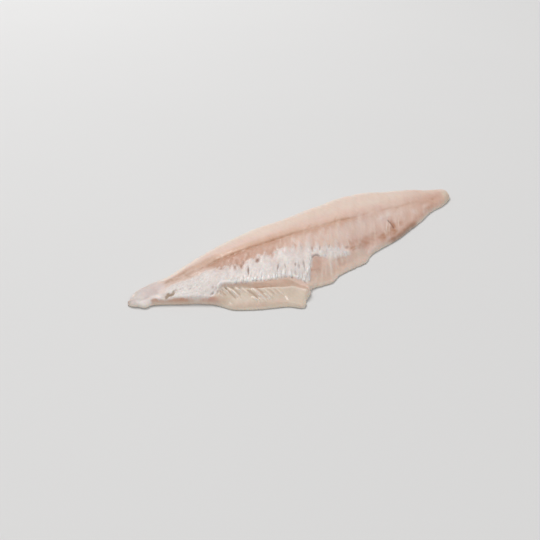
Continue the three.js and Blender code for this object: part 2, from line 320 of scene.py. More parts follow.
# Slits and holes: at, length, width, angle, depth, darkness; the darkness is painted shade inside them.
SLITS = [
    ((41.2, -21.2), 2.6, 0.8, 68, 0.2, 0.3), ((42.8, -20.4), 2.4, 0.7, 80, 0.15, 0.25), ((39.6, -20.6), 2.2, 0.8, 56, 0.2, 0.25), ((40.0, -18.6), 1.8, 0.9, 40, 0.2, 0.25),
    ((49.2, -8.9), 2.8, 1.7, -10, 0.12, 0.30), ((55.3, -12.2), 3.4, 1.3, 72, 0.15, 0.34), ((58.5, -13.2), 2.6, 1.5, 60, 0.15, 0.38), ((60.8, -11.6), 2.4, 1.3, 60, 0.12, 0.28),
    ((53.4, -10.2), 3.0, 1.1, 60, 0.1, 0.22), ((84.4, -27.4), 2.8, 0.8, 56, 0.25, 0.35),
    ((59.7, -17.4), 5.4, 0.78, 58, 0.6, 0.75), ((74.2, -23.0), 4.0, 0.85, 48, 0.5, 0.6), ((77.9, -24.0), 3.0, 0.75, 66, 0.35, 0.35),
    ((83.3, -25.6), 2.4, 0.9, 54, 0.4, 0.5), ((87.6, -27.2), 5.2, 0.9, 63, 0.45, 0.45), ((80.2, -30.2), 3.2, 1.1, 60, 0.3, 0.42),
    ((38.9, -17.4), 2.0, 1.1, 55, 0.3, 0.32), ((37.0, -20.3), 1.5, 1.0, 20, 0.3, 0.35), ((98.2, -20.2), 4.4, 1.1, 58, 0.3, 0.30),
    ((103.0, -20.4), 3.4, 0.7, 50, 0.25, 0.35), ((109.2, -20.6), 3.4, 0.7, 44, 0.25, 0.35), ((115.8, -21.4), 4.2, 1.5, 60, 0.25, 0.18),
    ((93.4, -16.6), 4.6, 1.2, 58, 0.15, 0.12), ((67.6, -14.0), 3.0, 1.8, 35, 0.35, 0.5), ((86.4, -33.0), 2.6, 0.8, 60, 0.3, 0.3),
    ((77.4, -31.4), 2.2, 0.7, 58, 0.2, 0.2), ((75.4, -28.4), 3.0, 0.8, 56, 0.3, 0.25), ((70.4, -26.6), 3.2, 0.7, 52, 0.25, 0.2),
    ((119.0, -24.2), 3.0, 1.3, 12, 0.3, 0.38), ((64.2, -20.8), 3.4, 0.7, 52, 0.2, 0.18), ((55.2, -19.6), 2.6, 0.6, 48, 0.18, 0.18),
    ((24.8, -9.4), 1.3, 0.8, 40, 0.15, 0.25), ((29.2, -12.0), 1.2, 0.7, 30, 0.12, 0.2), ((33.0, -14.6), 1.3, 0.7, 45, 0.12, 0.16),
]
# Brown scraps at the nape end of the lining.
SCRAPS = [
    ((17.4, -9.5), 2.4, 1.8, 15, 1.0), ((18.4, -8.8), 2.0, 1.6, 70, 0.95), ((19.4, -9.8), 2.6, 1.7, -12, 1.0),
    ((20.6, -9.7), 2.2, 1.5, 40, 0.95), ((21.4, -8.8), 1.9, 1.2, 60, 0.8), ((22.8, -8.5), 0.9, 0.8, 0, 0.5),
]
# Knots of the furrow, where the backbone was cut off the ribs: x, strength.
KNOTS = [
    (46.4, 0.4), (49, 0.35), (52, 0.5), (55.5, 0.5), (59.8, 1.0), (64, 0.45), (69, 0.5), (72.5, 0.35), (76, 0.5), (84, 0.95),
    (80, 0.4), (89, 0.35), (95, 0.4), (104.5, 0.45), (122.5, 0.4), (126.5, 0.5), (131, 0.7), (136, 0.8),
]
# White strands on the loin: at, length, width, angle, strength.
STRANDS = [
    ((40.4, -21.4), 3.4, 0.9, 62, 0.6), ((42.0, -20.4), 3.0, 0.9, 76, 0.6), ((38.8, -21.8), 2.8, 0.9, 52, 0.5), ((43.6, -19.4), 2.4, 0.8, 84, 0.5),
    ((102.2, -31.2), 9.5, 1.7, 56, 1.0), ((104.4, -28.4), 5.0, 3.0, 58, 0.9), ((107.0, -29.7), 5.0, 1.8, 66, 0.85), ((110.8, -29.6), 4.6, 1.7, 60, 0.65), ((93.6, -35.4), 8, 1.1, 50, 0.5),
    ((99.4, -35.6), 3.2, 1.2, 60, 0.7), ((97.0, -34.0), 6, 1.0, 52, 0.4), ((104.6, -27.4), 3, 1.8, 50, 0.6), ((89.0, -36.6), 6, 1.1, 40, 0.3),
    ((155.6, -15.4), 12.5, 0.75, 49, 0.75), ((157.4, -15.8), 11, 0.6, 49, 0.5), ((165.5, -14.8), 8.5, 0.9, 50, 0.6), ((161.6, -8.7), 5, 0.9, 14, 0.45),
    ((141.5, -12.0), 12, 1.4, 50, 0.25), ((148.2, -13.0), 12, 1.1, 50, 0.2), ((133.5, -13.0), 10, 1.5, 50, 0.15), ((121.0, -22.5), 7, 0.8, 56, 0.55),
    ((122.2, -26.4), 3, 1.2, 10, 0.5), ((144.5, -17.6), 6, 0.8, 52, 0.35), ((150.5, -19.5), 4, 0.9, 56, 0.45), ((217, 3.4), 3.4, 1.2, -22, 0.9),
    ((118.5, -30.5), 5, 1.2, 50, 0.3), ((122.5, -29.5), 5, 1.3, 45, 0.25), ((129.5, -27.2), 5, 1.1, 30, 0.3), ((87.0, -6.2), 5, 0.7, 62, 0.35),
    ((73.2, -4.4), 2.6, 0.6, 56, 0.35), ((169.5, -9.0), 6, 0.8, 48, 0.25), ((172.5, -12.6), 5, 0.7, 40, 0.25),
]


def surface(x, y):
    """Height and the masks of the upper side, for points inside the outline."""
    x, y = np.broadcast_arrays(np.asarray(x, float), np.asarray(y, float))
    belly, back = belly_edge(x), back_edge(x)
    width = np.maximum(back - belly, 1e-3)
    lower, wall, base = loin_edge(x), wall_height(x), loin_base(x)
    share = np.clip((y - belly) / width, 0, 1)

    # body
    rise = np.clip((y - base) / (CREST_AT * (plain_back(x) - base) + 1e-3), 0, 1)
    t = wall + (crest_height(x) - wall) * np.sin(np.pi / 2 * rise) ** 1.15
    has_flap = lower > plain_belly(x) + 0.3
    ragged = lower + 0.25 * noise(x / 2.2, 0.5, 41) + 0.12 * noise(x / 0.9, 0.5, 42)
    on_loin = np.where(has_flap, ease((y - ragged) / SEAM_WIDTH + 0.5), 1.0)
    from_seam = np.maximum(ragged - y, 0)
    flap_t = FLAP_THICKNESS + FLAP_SWELL * bell(from_seam / 8)
    t = flap_t + (t - flap_t) * on_loin
    flap = np.where(has_flap, ease((ragged + 0.2 - y) / 1.2 + 0.5), 0.0)

    # thin skirt of flesh along the belly edge behind the flap
    edge_up = y - belly
    skirt = ramp(x, (80, 0), (90, 1), (128, 1), (142, 0)) * ease(1 - edge_up / 9) * (1 - flap)
    t = t + (1.35 + 0.22 * edge_up - t) * skirt

    t = t + 0.12 * (np.sin(0.21 * x + 0.12 * y) + np.sin(0.083 * x - 0.27 * y + 1.3))
    t = t + 0.12 * layered(x / 11, y / 9, 51)

    m = {}
    d = edge_distance(x, y)
    low_a, low_c = along_across(x, y, 52)

    # furrow of the backbone, with knots
    g = groove(x) + 0.26 * noise(x / 7, 0.5, 61) + 0.16 * noise(x / 2.1, 0.5, 64)
    along = ramp(x, (30, 0), (44, 0.2), (52, 0.7), (60, 1), (86, 1), (108, 0.45), (137, 0.45), (150, 0.12), (170, 0))
    off = y - g
    t = t - 0.55 * along * bell(off / (GROOVE_HALF + 0.4 * noise(x / 9, 0.5, 62)))
    t = t - 0.36 * along * bell(off / 0.62) * (0.75 + 0.5 * noise(x / 2.3, 0.5, 65))
    knots = sum(k * spot(x, y, (kx, float(groove(kx)) + 0.1), 3.0, 1.3, 4) for kx, k in KNOTS)
    t = t - 0.24 * knots
    strong = ramp(x, (40, 0), (46, 0.5), (52, 0.8), (57, 1), (86, 1), (93, 0.7), (101, 0.45), (108, 0.2), (121, 0.15), (127, 0.3), (138, 0.3), (142, 0.05), (150, 0))
    broken = 0.80 + 0.50 * noise(x / 2.4, y / 1.5, 63)
    m["furrow"] = np.clip(bell(off / ramp(x, (60, 0.62), (100, 0.7), (125, 1.1))) * strong * broken * 0.85 + 0.6 * knots, 0, 1)

    # salmon flesh between the furrow and the lining, streaked along the fibres
    edge_top = lining_top(x)
    band = ease((y - edge_top + 1.4) / 2.4) * ease((g + 0.6 - y) / 1.3)
    amount = ramp(x, (16, 0), (20, 0.35), (30, 0.5), (45, 0.65), (50, 0.95), (66, 1), (78, 0.8), (90, 0.55), (104, 0.42), (120, 0.3), (140, 0.2), (165, 0.1), (190, 0))
    depth = np.where(x > 92, ease((y - g + 9) / 7), 1.0)
    streaks = 0.92 + 0.34 * noise(low_c / 2.0, low_a / 5, 75) + 0.16 * noise(x / 1.9, y / 1.6, 77) + 0.22 * ease((off + 6) / 5) - 0.12
    m["salmon"] = np.clip(band * amount * depth * streaks, 0, 1)
    m["hot"] = np.clip(patches(x, y, HOT) * (0.92 + 0.26 * noise(low_c / 1.9, low_a / 3.0, 78) + 0.12 * noise(x / 1.1, y / 1.0, 74)) * (y < g + 0.8), 0, 1)
    m["blotch"] = np.clip(np.minimum(patches(x, y, BLOTCHES), 1) * (0.9 + 0.35 * noise(x / 1.5, y / 1.2, 79)), 0, 1)
    brownish = ease((y - edge_top + 1.4) / 2.2) * ease((ramp(x, (18, 2.8), (25, 4.0), (32, 5.6), (40, 6.6), (48, 7.0)) - y) / 5.0) * ramp(x, (16.5, 0), (20, 0.75), (33, 0.8), (37, 0.6), (41, 0.35), (46, 0.5), (52, 0.35), (58, 0))
    m["blotch"] = np.clip(np.maximum(m["blotch"], brownish * (0.75 + 0.3 * noise(x / 2.6, y / 1.8, 80))), 0, 1)
    reach = ramp(x, (30, 4.4), (50, 6.2), (62, 6.6), (80, 6.8), (200, 6.4))
    m["peach"] = np.clip(ease(off / 0.8) * ease((reach - off) / 4.2) * ramp(x, (26, 0), (38, 0.8), (48, 1), (62, 1), (85, 0.8), (110, 0.4), (150, 0.2), (190, 0.1)), 0, 1)
    lumps = noise(low_c / 1.6, low_a / 4.0, 76)
    t = t + 0.05 * band * amount * lumps
    faint = patches(x, y, FAINT)
    low_off = off + ramp(x, (90, 0), (106, 0.7), (140, 0.7))
    halo = bell(low_off / np.where(low_off > 0, 1.6, ramp(x, (60, 2.4), (104, 3.0), (140, 3.0)))) * ramp(x, (46, 0), (56, 0.55), (90, 0.65), (104, 0.85), (126, 0.9), (138, 0.95), (144, 0.3), (170, 0.08), (180, 0))
    t = t - 0.10 * np.minimum(faint, 1)
    m["faint"] = np.clip(np.maximum(faint, halo) * (0.9 + 0.35 * noise(x / 2.2, y / 1.2, 96) + 0.3 * noise(low_c / 1.6, low_a / 4, 100)), 0, 1)

    slit_shade = np.zeros_like(x)
    for at, length, w, angle, deep, dark in SLITS:
        t = t - deep * spot(x, y, at, length, w, angle)
        slit_shade = np.maximum(slit_shade, dark * ease(1.35 * spot(x, y, at, length, w * 1.15, angle)))
    scrap = np.zeros_like(x)
    for at, length, w, angle, dark in SCRAPS:
        scrap = np.maximum(scrap, dark * ease(2.0 * spot(x, y, at, length, w, angle) - 0.15 + 0.22 * noise(x / 0.9, y / 0.9, 87)))
    t = t + 0.20 * scrap * noise(x / 0.8, y / 0.8, 88) - 0.12 * scrap

    # an arch over a sunken, soft pink pocket, and a fainter pocket beside it; the arch's dark line and the brownish
    # band just under it are painted shade
    a60, c60 = along_across(x - 94.8, y + 29.6, 60)
    pocket = ease((1.25 - np.sqrt((a60 / 6.0) ** 2 + (c60 / 4.0) ** 2) + 0.14 * noise(x / 2, y / 2, 89)) / 0.8)
    second = 0.55 * ease((1.25 - np.hypot((x - 109.5) / 3.6, (y + 30.8) / 2.6) + 0.2 * noise(x / 2, y / 2, 86)) / 0.8)
    bow = y + 24.0 + 0.17 * np.square(x - 97.0)
    arch = bell(bow / 0.46) * ease((2.9 - np.abs(x - 97.0)) / 0.9)
    t = t - 0.30 * np.maximum(pocket, second) * on_loin - 0.45 * arch
    under_arch = bell((bow + 1.1) / 1.0) * ease((3.0 - np.abs(x - 97.0)) / 1.2)
    fold = bell((y + 31.6 - 0.10 * (x - 92) ** 2 / 2.4) / 0.9) * ease((x - 86) / 2) * ease((98 - x) / 2)
    m["window"] = np.clip(np.maximum.reduce([0.8 * pocket, second, 0.9 * under_arch, fold]), 0, 1)
    slit_shade = np.maximum(slit_shade, 0.75 * arch * (0.85 + 0.3 * noise(x / 1.2, y / 1.2, 90)))

    # slit in the tail half of the loin, darkened inside with painted shade
    cut = bell((x - 159.5 - 0.10 * (y + 14.5) - 0.3 * np.cos((y + 15) * 0.8)) / 0.62) * ease((y + 18.8) / 1.6) * ease((-10.8 - y) / 1.2)
    t = t - 0.45 * cut + 0.16 * bell((x - 158.2 - 0.1 * (y + 14.5)) / 0.6) * ease((y + 18.4) / 2.0) * ease((-11.2 - y) / 1.2)
    slit_shade = np.maximum(slit_shade, 0.85 * cut)

    # white strands and pale places
    strands = np.zeros_like(x)
    for at, length, w, angle, s in STRANDS:
        strands = np.maximum(strands, s * spot(x + 0.5 * noise(y / 4, at[0] * 0.37, 93), y, at, length, w, angle))
    t = t + 0.20 * strands
    m["pale"] = np.clip(patches(x, y, PALE) * (0.85 + 0.3 * noise(x / 2.2, y / 2.2, 94)), 0, 1)
    t = t + 0.10 * np.minimum(m["pale"], 1)
    m["skirt"] = np.clip(patches(x, y, CREAMY) * (0.85 + 0.3 * noise(x / 2.6, y / 1.8, 97)), 0, 1)

    # muscle lines: faint slanted ridges over the loin, clearer towards the tail
    lines_a, lines_c = along_across(x, y, 50)
    lines_c = lines_c + 1.3 * noise(x / 14, y / 10, 91)
    myo = 0.75 * noise(lines_c / 3.1, lines_a / 18, 92) + 0.35 * noise(lines_c / 1.2, lines_a / 9, 95)
    smooth_part = on_loin * ease((x - 16) / 10) * (1 - flap)
    tailward = ramp(x, (20, 0.5), (84, 0.6), (96, 1.1), (140, 1.2), (200, 1.1), (220, 0.5)) * (1 - 0.5 * ease((y - g) / 4))
    t = t + 0.045 * smooth_part * myo * tailward
    m["myomere"] = np.clip(smooth_part * np.maximum(myo, 0) * tailward, 0, 1)
    m["myodark"] = np.clip(smooth_part * np.maximum(-myo, 0) * tailward, 0, 1)

    # flap
    t = t + flap * (0.05 * layered(x / 5, y / 5, 103) + 0.02 * noise(x / 1.3, y / 2.2, 104))
    # brownish step down to the flap, with a fine orange crease along its foot and a pale ledge under it
    step = crease_line(x) + 0.35 * noise(x / 2.6, 0.5, 45) + 0.15 * noise(x / 1.1, 0.5, 46)
    ledge = flap * bell((step - 0.9 - y) / 0.8) * ease((x - 58) / 6) * ease((77 - x) / 3)
    t = t + 0.10 * ledge
    crease = bell((y - step) / 0.45) * has_flap * ease((x - 53) / 5) * ease((78 - x) / 3)
    t = t - 0.10 * crease
    m["crease"] = np.clip(crease * (0.85 + 0.35 * noise(x / 3, 0.5, 105)), 0, 1)
    seam_band = np.where(has_flap, ease((y - step + 0.2) / ramp(x, (40, 1.4), (60, 0.9), (80, 1.2))) * ease((ragged + 5.0 - y) / 2.2), 0.0)
    m["seam"] = seam_band * ease((x - 41) / 3) * ease((83 - x) / 4)
    # painted shade on the right end of the step and along the flap's edge near the nape end; paint() adds the hollows
    # between the ribs
    m["gap_shade"] = np.clip(
        0.42 * seam_band * ease((x - 71) / 5) * ease((83 - x) / 3) + 0.36 * flap * ease((7.5 - d) / 6.5) * ramp(x, (36, 0), (40, 1), (56, 1), (68, 0))
        * (0.9 + 0.3 * noise(x / 3, y / 2.4, 47)), 0, 1
    )

    # nape: a smooth lump that ends in a fold where the lining starts
    nape = ease((21.6 + 0.3 * (y + 2) + 1.8 * noise(x / 4.5, y / 3.5, 109) - x) / 8.5)
    t = t + 0.18 * nape * bell((x - 9.5) / 4.5) - 0.16 * bell((x - 15.2 - 0.25 * (y + 2)) / 1.6) * ease((-1.0 - y) / 2)
    t = t - 0.10 * bell((x - 7.2 + 0.15 * (y + 1)) / 0.7) * ease((1 - y) / 2) + 0.10 * nape * noise(x / 3.4, y / 3.0, 107)
    t = t + 0.35 * spot(x, y, (4.2, 1.6), 2.6, 1.3, 60)
    # along the nape's back rim the nape colour gives way to a painted highlight (outer, put into white below); the
    # small bump near the tip gets a painted glint
    outer = (share > 0.5) * ease((3.2 - d) / 2.6)
    m["nape"] = nape * (1 - 0.4 * outer)
    # lilac: partly the nape's own lilac tint, partly painted shade across the middle of the lump and in the fold near x
    # 15
    m["lilac_shade"] = np.clip(
        nape * ease((x - 7.5) / 3) * ease((1.8 - y) / 3) * ease((y + 5.0) / 1.6) * (0.8 + 0.35 * noise(x / 2.4, y / 2.4, 106))
        + 0.7 * spot(x, y, (17.5, -1.4), 6.5, 4.2, 0) + 0.35 * spot(x, y, (14.6, -4.4), 3.4, 2.0, 75), 0, 1
    )
    m["beige"] = np.clip(nape * ease((8.4 - x) / 2.6) * (0.75 + 0.35 * noise(x / 1.6, y / 1.6, 108)), 0, 1)

    # tail tip: a low cream rim
    tip = ease((x - 214.5 - 0.55 * (y - 0.5)) / 4.5) * (y < 6)
    m["tip"] = np.clip(np.maximum(tip * ease((4.5 - y) / 4), bell(d / 1.9) * ease((x - 206) / 8)), 0, 1)

    # grain of the flesh
    t = t + 0.020 * layered(x / 1.6, y / 1.6, 111, 2) * (1 - 0.6 * nape)

    # rim: rolls over towards the outline and ends a little above the floor
    rim = belly_rim(x)
    radius = rim + (np.minimum(RIM_BACK, 0.5 * width) - rim) * np.clip((share - 0.45) / 0.4, 0, 1)
    q = np.clip(d / radius, 0, 1)
    roll = np.sqrt(np.maximum(0, 1 - (1 - q) ** 2))
    low = rim_low_belly(x) + (rim_low_back(x) - rim_low_belly(x)) * ease(share)
    t = np.maximum(t, 1.0)
    z = low + np.maximum(t - low, 0.2) * roll

    # cut wall under the lining
    side = ease((lining_foot(x) + 0.7 + 1.2 * ease((13.5 - x) / 2) - y) / 1.0) * ease((x - 8.8) / 1.8) * ease((39 - x) / 4)
    m["wall"] = np.clip(side, 0, 1)
    m["orange"] = np.clip(side * (bell((x - 23.5) / 3.4) * 0.95 + 0.45 * bell((x - 18) / 3) + 0.2 * noise(x / 4, 0.5, 121)), 0, 1)
    m["red"] = np.clip(side * bell((x - 33.4) / 3.6) * 0.95, 0, 1)
    m["blush"] = np.clip(patches(x, y, BLUSH) * (0.85 + 0.3 * noise(x / 2.6, y / 2.6, 123)), 0, 1)

    # brown-orange flesh at the belly edge, and behind the end of the lining; the band along the belly edge is partly
    # the flesh's own colour and partly painted shade
    brown = (1.3 * bell(edge_up / 1.7) + 0.5 * bell(edge_up / 3.6)) * ease((x - 143) / 10) * ease((183 - x) / 10) * (0.75 + 0.35 * noise(x / 4, y / 2, 124))
    brown = np.maximum(brown, np.minimum(patches(x, y, BROWN), 1.0) * (0.85 + 0.40 * noise(x / 3.2, y / 2.2, 122)))
    m["brown"] = np.clip(brown, 0, 1)
    below = np.interp(x, [119, 121.5, 127, 134, 140], [-27.4, -26.4, -26.0, -26.0, -25.4])
    # painted shade along the thin belly edge of the tail half
    slit_shade = np.maximum(slit_shade, 0.66 * ease((2.4 - edge_up) / 2.2) * ease((x - 147) / 8) * ease((181 - x) / 8) * (0.85 + 0.3 * noise(x / 3, 0.5, 125)))
    m["edgeline"] = np.clip(bell((y - below) / 0.55) * ease((x - 119.8) / 1.2) * ease((131 - x) / 8) * (0.6 + 0.4 * noise(x / 2, 0.5, 126)), 0, 1)

    # pale flesh of the back, and the cream rims; the cream band along the back rim is partly the edge's own whiter
    # flesh and partly a painted highlight
    m["back"] = ease((y - g - 4.5 - 1.5 * noise(x / 14, 0.5, 131)) / 8) * (1 - nape)
    rim_amount = ramp(x, (14, 1), (40, 1), (60, 0.9), (90, 1), (190, 0.8), (212, 0.1))
    m["rim"] = np.clip(ease((ramp(x, (20, 6.2), (40, 6.8), (60, 8.6), (80, 12)) - d) / ramp(x, (20, 2.2), (60, 3.4), (80, 6.5))) * (share > 0.5) * ease((x - 12) / 8) * rim_amount * (0.9 + 0.2 * noise(x / 6, y / 2, 132)), 0, 1)
    m["tail"] = ease((x - 172 - 0.9 * y) / 24) * (1 - tip) * (1 - 0.6 * ease((y - 0.5) / 6))
    belly_side = share < 0.5
    thin_edge = bell(d / 0.9) * np.clip(1.15 - z / 3.2, 0, 1)
    torn_edge = 1.3 * bell((d - 0.3) / 0.8) * ramp(x, (67, 0), (71, 1), (94, 1), (102, 0.5), (124, 0.5), (134, 0)) * (0.75 + 0.5 * noise(x / 1.8, y / 1.8, 133))
    nape_lip = (bell((d - 1.2) / 1.1) * ease((x - 2.6) / 1.5) * ease((10.0 - x) / 2) + 0.85 * ease((-4.4 - y + 0.5 * noise(x / 2.2, y / 2, 134)) / 1.6) * ease((x - 4) / 2) * ease((17 - x) / 4) * (1 - ease((2.2 - d) / 1.0) * ease((x - 8.6) / 2)) + 0.7 * ease((4.2 - x - 0.3 * (y + 4)) / 2) * ease((-1.5 - y) / 1.5))
    m["cream"] = np.clip(np.maximum.reduce([thin_edge, torn_edge]) * belly_side, 0, 1)
    m["lip"] = np.clip(nape_lip * belly_side, 0, 1)
    m["flap"] = flap
    # white: the real strands and the pale ledge, plus a painted glint near the nape tip and a painted highlight along
    # the nape's back rim
    m["white"] = np.clip(np.maximum.reduce([strands, 0.5 * ledge, 1.3 * spot(x, y, (4.2, 1.6), 2.4, 1.3, 60), 0.55 * outer * ease((x - 5) / 4) * ease((25 - x) / 8)]), 0, 1)
    m["dark"] = np.clip(slit_shade, 0, 1)
    m["scrap"] = np.clip(scrap, 0, 1)
    m["on_loin"] = on_loin
    return z, m


MASKS = [
    "furrow", "salmon", "hot", "blotch", "peach", "faint", "window", "skirt", "myomere", "myodark", "crease", "seam", "nape", "lilac_shade", "beige",
    "lip", "tip", "wall", "orange", "red", "blush", "brown", "edgeline", "pale", "back", "rim", "tail", "cream", "flap", "lining", "bright",
    "fine", "white", "gap_shade", "dark", "scrap", "wet", "under",
]


def place(x, y, z):
    return np.stack([(x - LENGTH / 2) * 1e-3, (y - Y_MID) * 1e-3, z * 1e-3], -1)


# ---------------------------------------------------------------------------------------------------------------
# Strokes: soft tufts of the lining, and the ribs of the flap with the hollows between them.
# ---------------------------------------------------------------------------------------------------------------
# Fingers of the lining's torn lower edge: foot, length, width, angle.
FINGERS = [
    ((53.4, -21.2), 3.6, 1.5, 46), ((56.2, -22.8), 4.0, 1.5, 47), ((59.4, -24.6), 4.2, 1.6, 48), ((62.4, -26.4), 4.6, 1.7, 50), ((65.4, -27.6), 5.0, 1.7, 51),
    ((68.2, -28.3), 5.4, 1.8, 52), ((71.2, -29.3), 6.8, 2.0, 54), ((73.9, -29.0), 6.0, 1.7, 56), ((76.4, -30.8), 7.2, 2.0, 55), ((78.8, -32.6), 6.4, 1.8, 54),
    ((81.6, -36.4), 7.4, 1.8, 58), ((79.0, -33.8), 4.4, 1.4, 50), ((84.0, -34.0), 6.0, 1.7, 56), ((86.4, -32.6), 5.0, 1.4, 58),
    ((101.6, -26.6), 4.0, 1.6, 58), ((104.6, -28.0), 4.6, 1.7, 56), ((107.6, -28.6), 4.6, 1.7, 58), ((111.2, -28.6), 4.4, 1.7, 58), ((114.4, -29.0), 5.0, 1.9, 56),
    ((116.6, -28.6), 5.2, 2.2, 54),
]
# Pale streaks that stand above the tail half of the lining: foot, length, width, angle, brightness, cover.
STREAKS = [
    ((83.6, -16.6), 7.0, 2.4, 58, 0.50, 0.60), ((87.4, -17.4), 7.5, 2.4, 56, 0.52, 0.60), ((91.0, -19.2), 9.5, 2.7, 58, 0.55, 0.75),
    ((95.4, -21.4), 10.5, 2.9, 62, 0.60, 0.85), ((100.2, -22.2), 9.0, 2.7, 57, 0.58, 0.80), ((104.6, -23.2), 9.5, 2.6, 55, 0.55, 0.78),
    ((108.0, -23.4), 5.6, 2.2, 60, 0.55, 0.65), ((111.0, -24.6), 8.5, 2.4, 56, 0.52, 0.70), ((115.2, -25.2), 6.0, 2.5, 62, 0.55, 0.7),
    ((100.0, -13.8), 6.0, 2.8, 58, 0.22, 0.26), ((104.4, -15.2), 6.5, 2.8, 56, 0.22, 0.26), ((109.4, -16.2), 6.5, 2.8, 56, 0.24, 0.26),
    ((114.2, -20.6), 5.0, 2.2, 60, 0.40, 0.50), ((118.4, -18.0), 7.0, 2.4, 60, 0.25, 0.30), ((81.0, -12.4), 5.5, 1.8, 60, 0.30, 0.35),
    ((92.0, -11.4), 6.0, 2.0, 58, 0.28, 0.30), ((96.2, -12.2), 6.0, 2.0, 60, 0.28, 0.30), ((120.6, -16.5), 6.0, 1.8, 60, 0.25, 0.26),
    ((73.0, -13.0), 4.0, 1.8, 62, 0.55, 0.6), ((70.9, -14.4), 2.6, 1.8, 80, 0.6, 0.6), ((64.2, -13.6), 4.0, 3.2, 60, 0.5, 0.6), ((78.0, -14.4), 4.4, 1.7, 58, 0.5, 0.5),
]


# Salmon flesh showing between the tufts of the upper edge: at, length, width, angle, strength.
BITES = [
    ((49.2, -9.0), 4.8, 1.5, -6, 0.9), ((53.0, -10.6), 3.4, 1.2, 52, 0.7), ((55.3, -11.6), 4.6, 1.5, 58, 0.9), ((58.4, -12.6), 5.0, 1.7, 60, 0.95),
    ((61.2, -12.0), 3.0, 1.3, 55, 0.6), ((67.6, -13.6), 3.4, 2.1, 38, 0.95), ((72.4, -13.4), 3.4, 1.1, 60, 0.6), ((75.8, -15.4), 4.2, 1.5, 55, 0.8),
    ((79.4, -14.8), 3.2, 1.1, 58, 0.6), ((82.8, -15.0), 3.6, 1.1, 58, 0.6), ((86.2, -16.2), 3.6, 1.2, 58, 0.6), ((89.8, -17.4), 4.6, 1.4, 58, 0.7),
    ((94.0, -17.8), 5.4, 1.5, 60, 0.75), ((98.4, -19.8), 5.0, 1.4, 60, 0.7), ((103.2, -19.8), 4.4, 1.1, 55, 0.5), ((107.4, -19.4), 3.6, 1.2, 55, 0.3),
    ((109.6, -20.4), 4.4, 1.2, 50, 0.5), ((115.8, -21.6), 5.0, 1.8, 60, 0.8), ((119.6, -23.4), 4.6, 1.5, 60, 0.8), ((43.0, -6.6), 3, 1.0, 30, 0.4),
    ((46.0, -7.4), 3, 1.1, 20, 0.5), ((64.4, -12.6), 2.6, 0.9, 60, 0.45), ((70.0, -12.6), 2.6, 0.9, 50, 0.45),
]


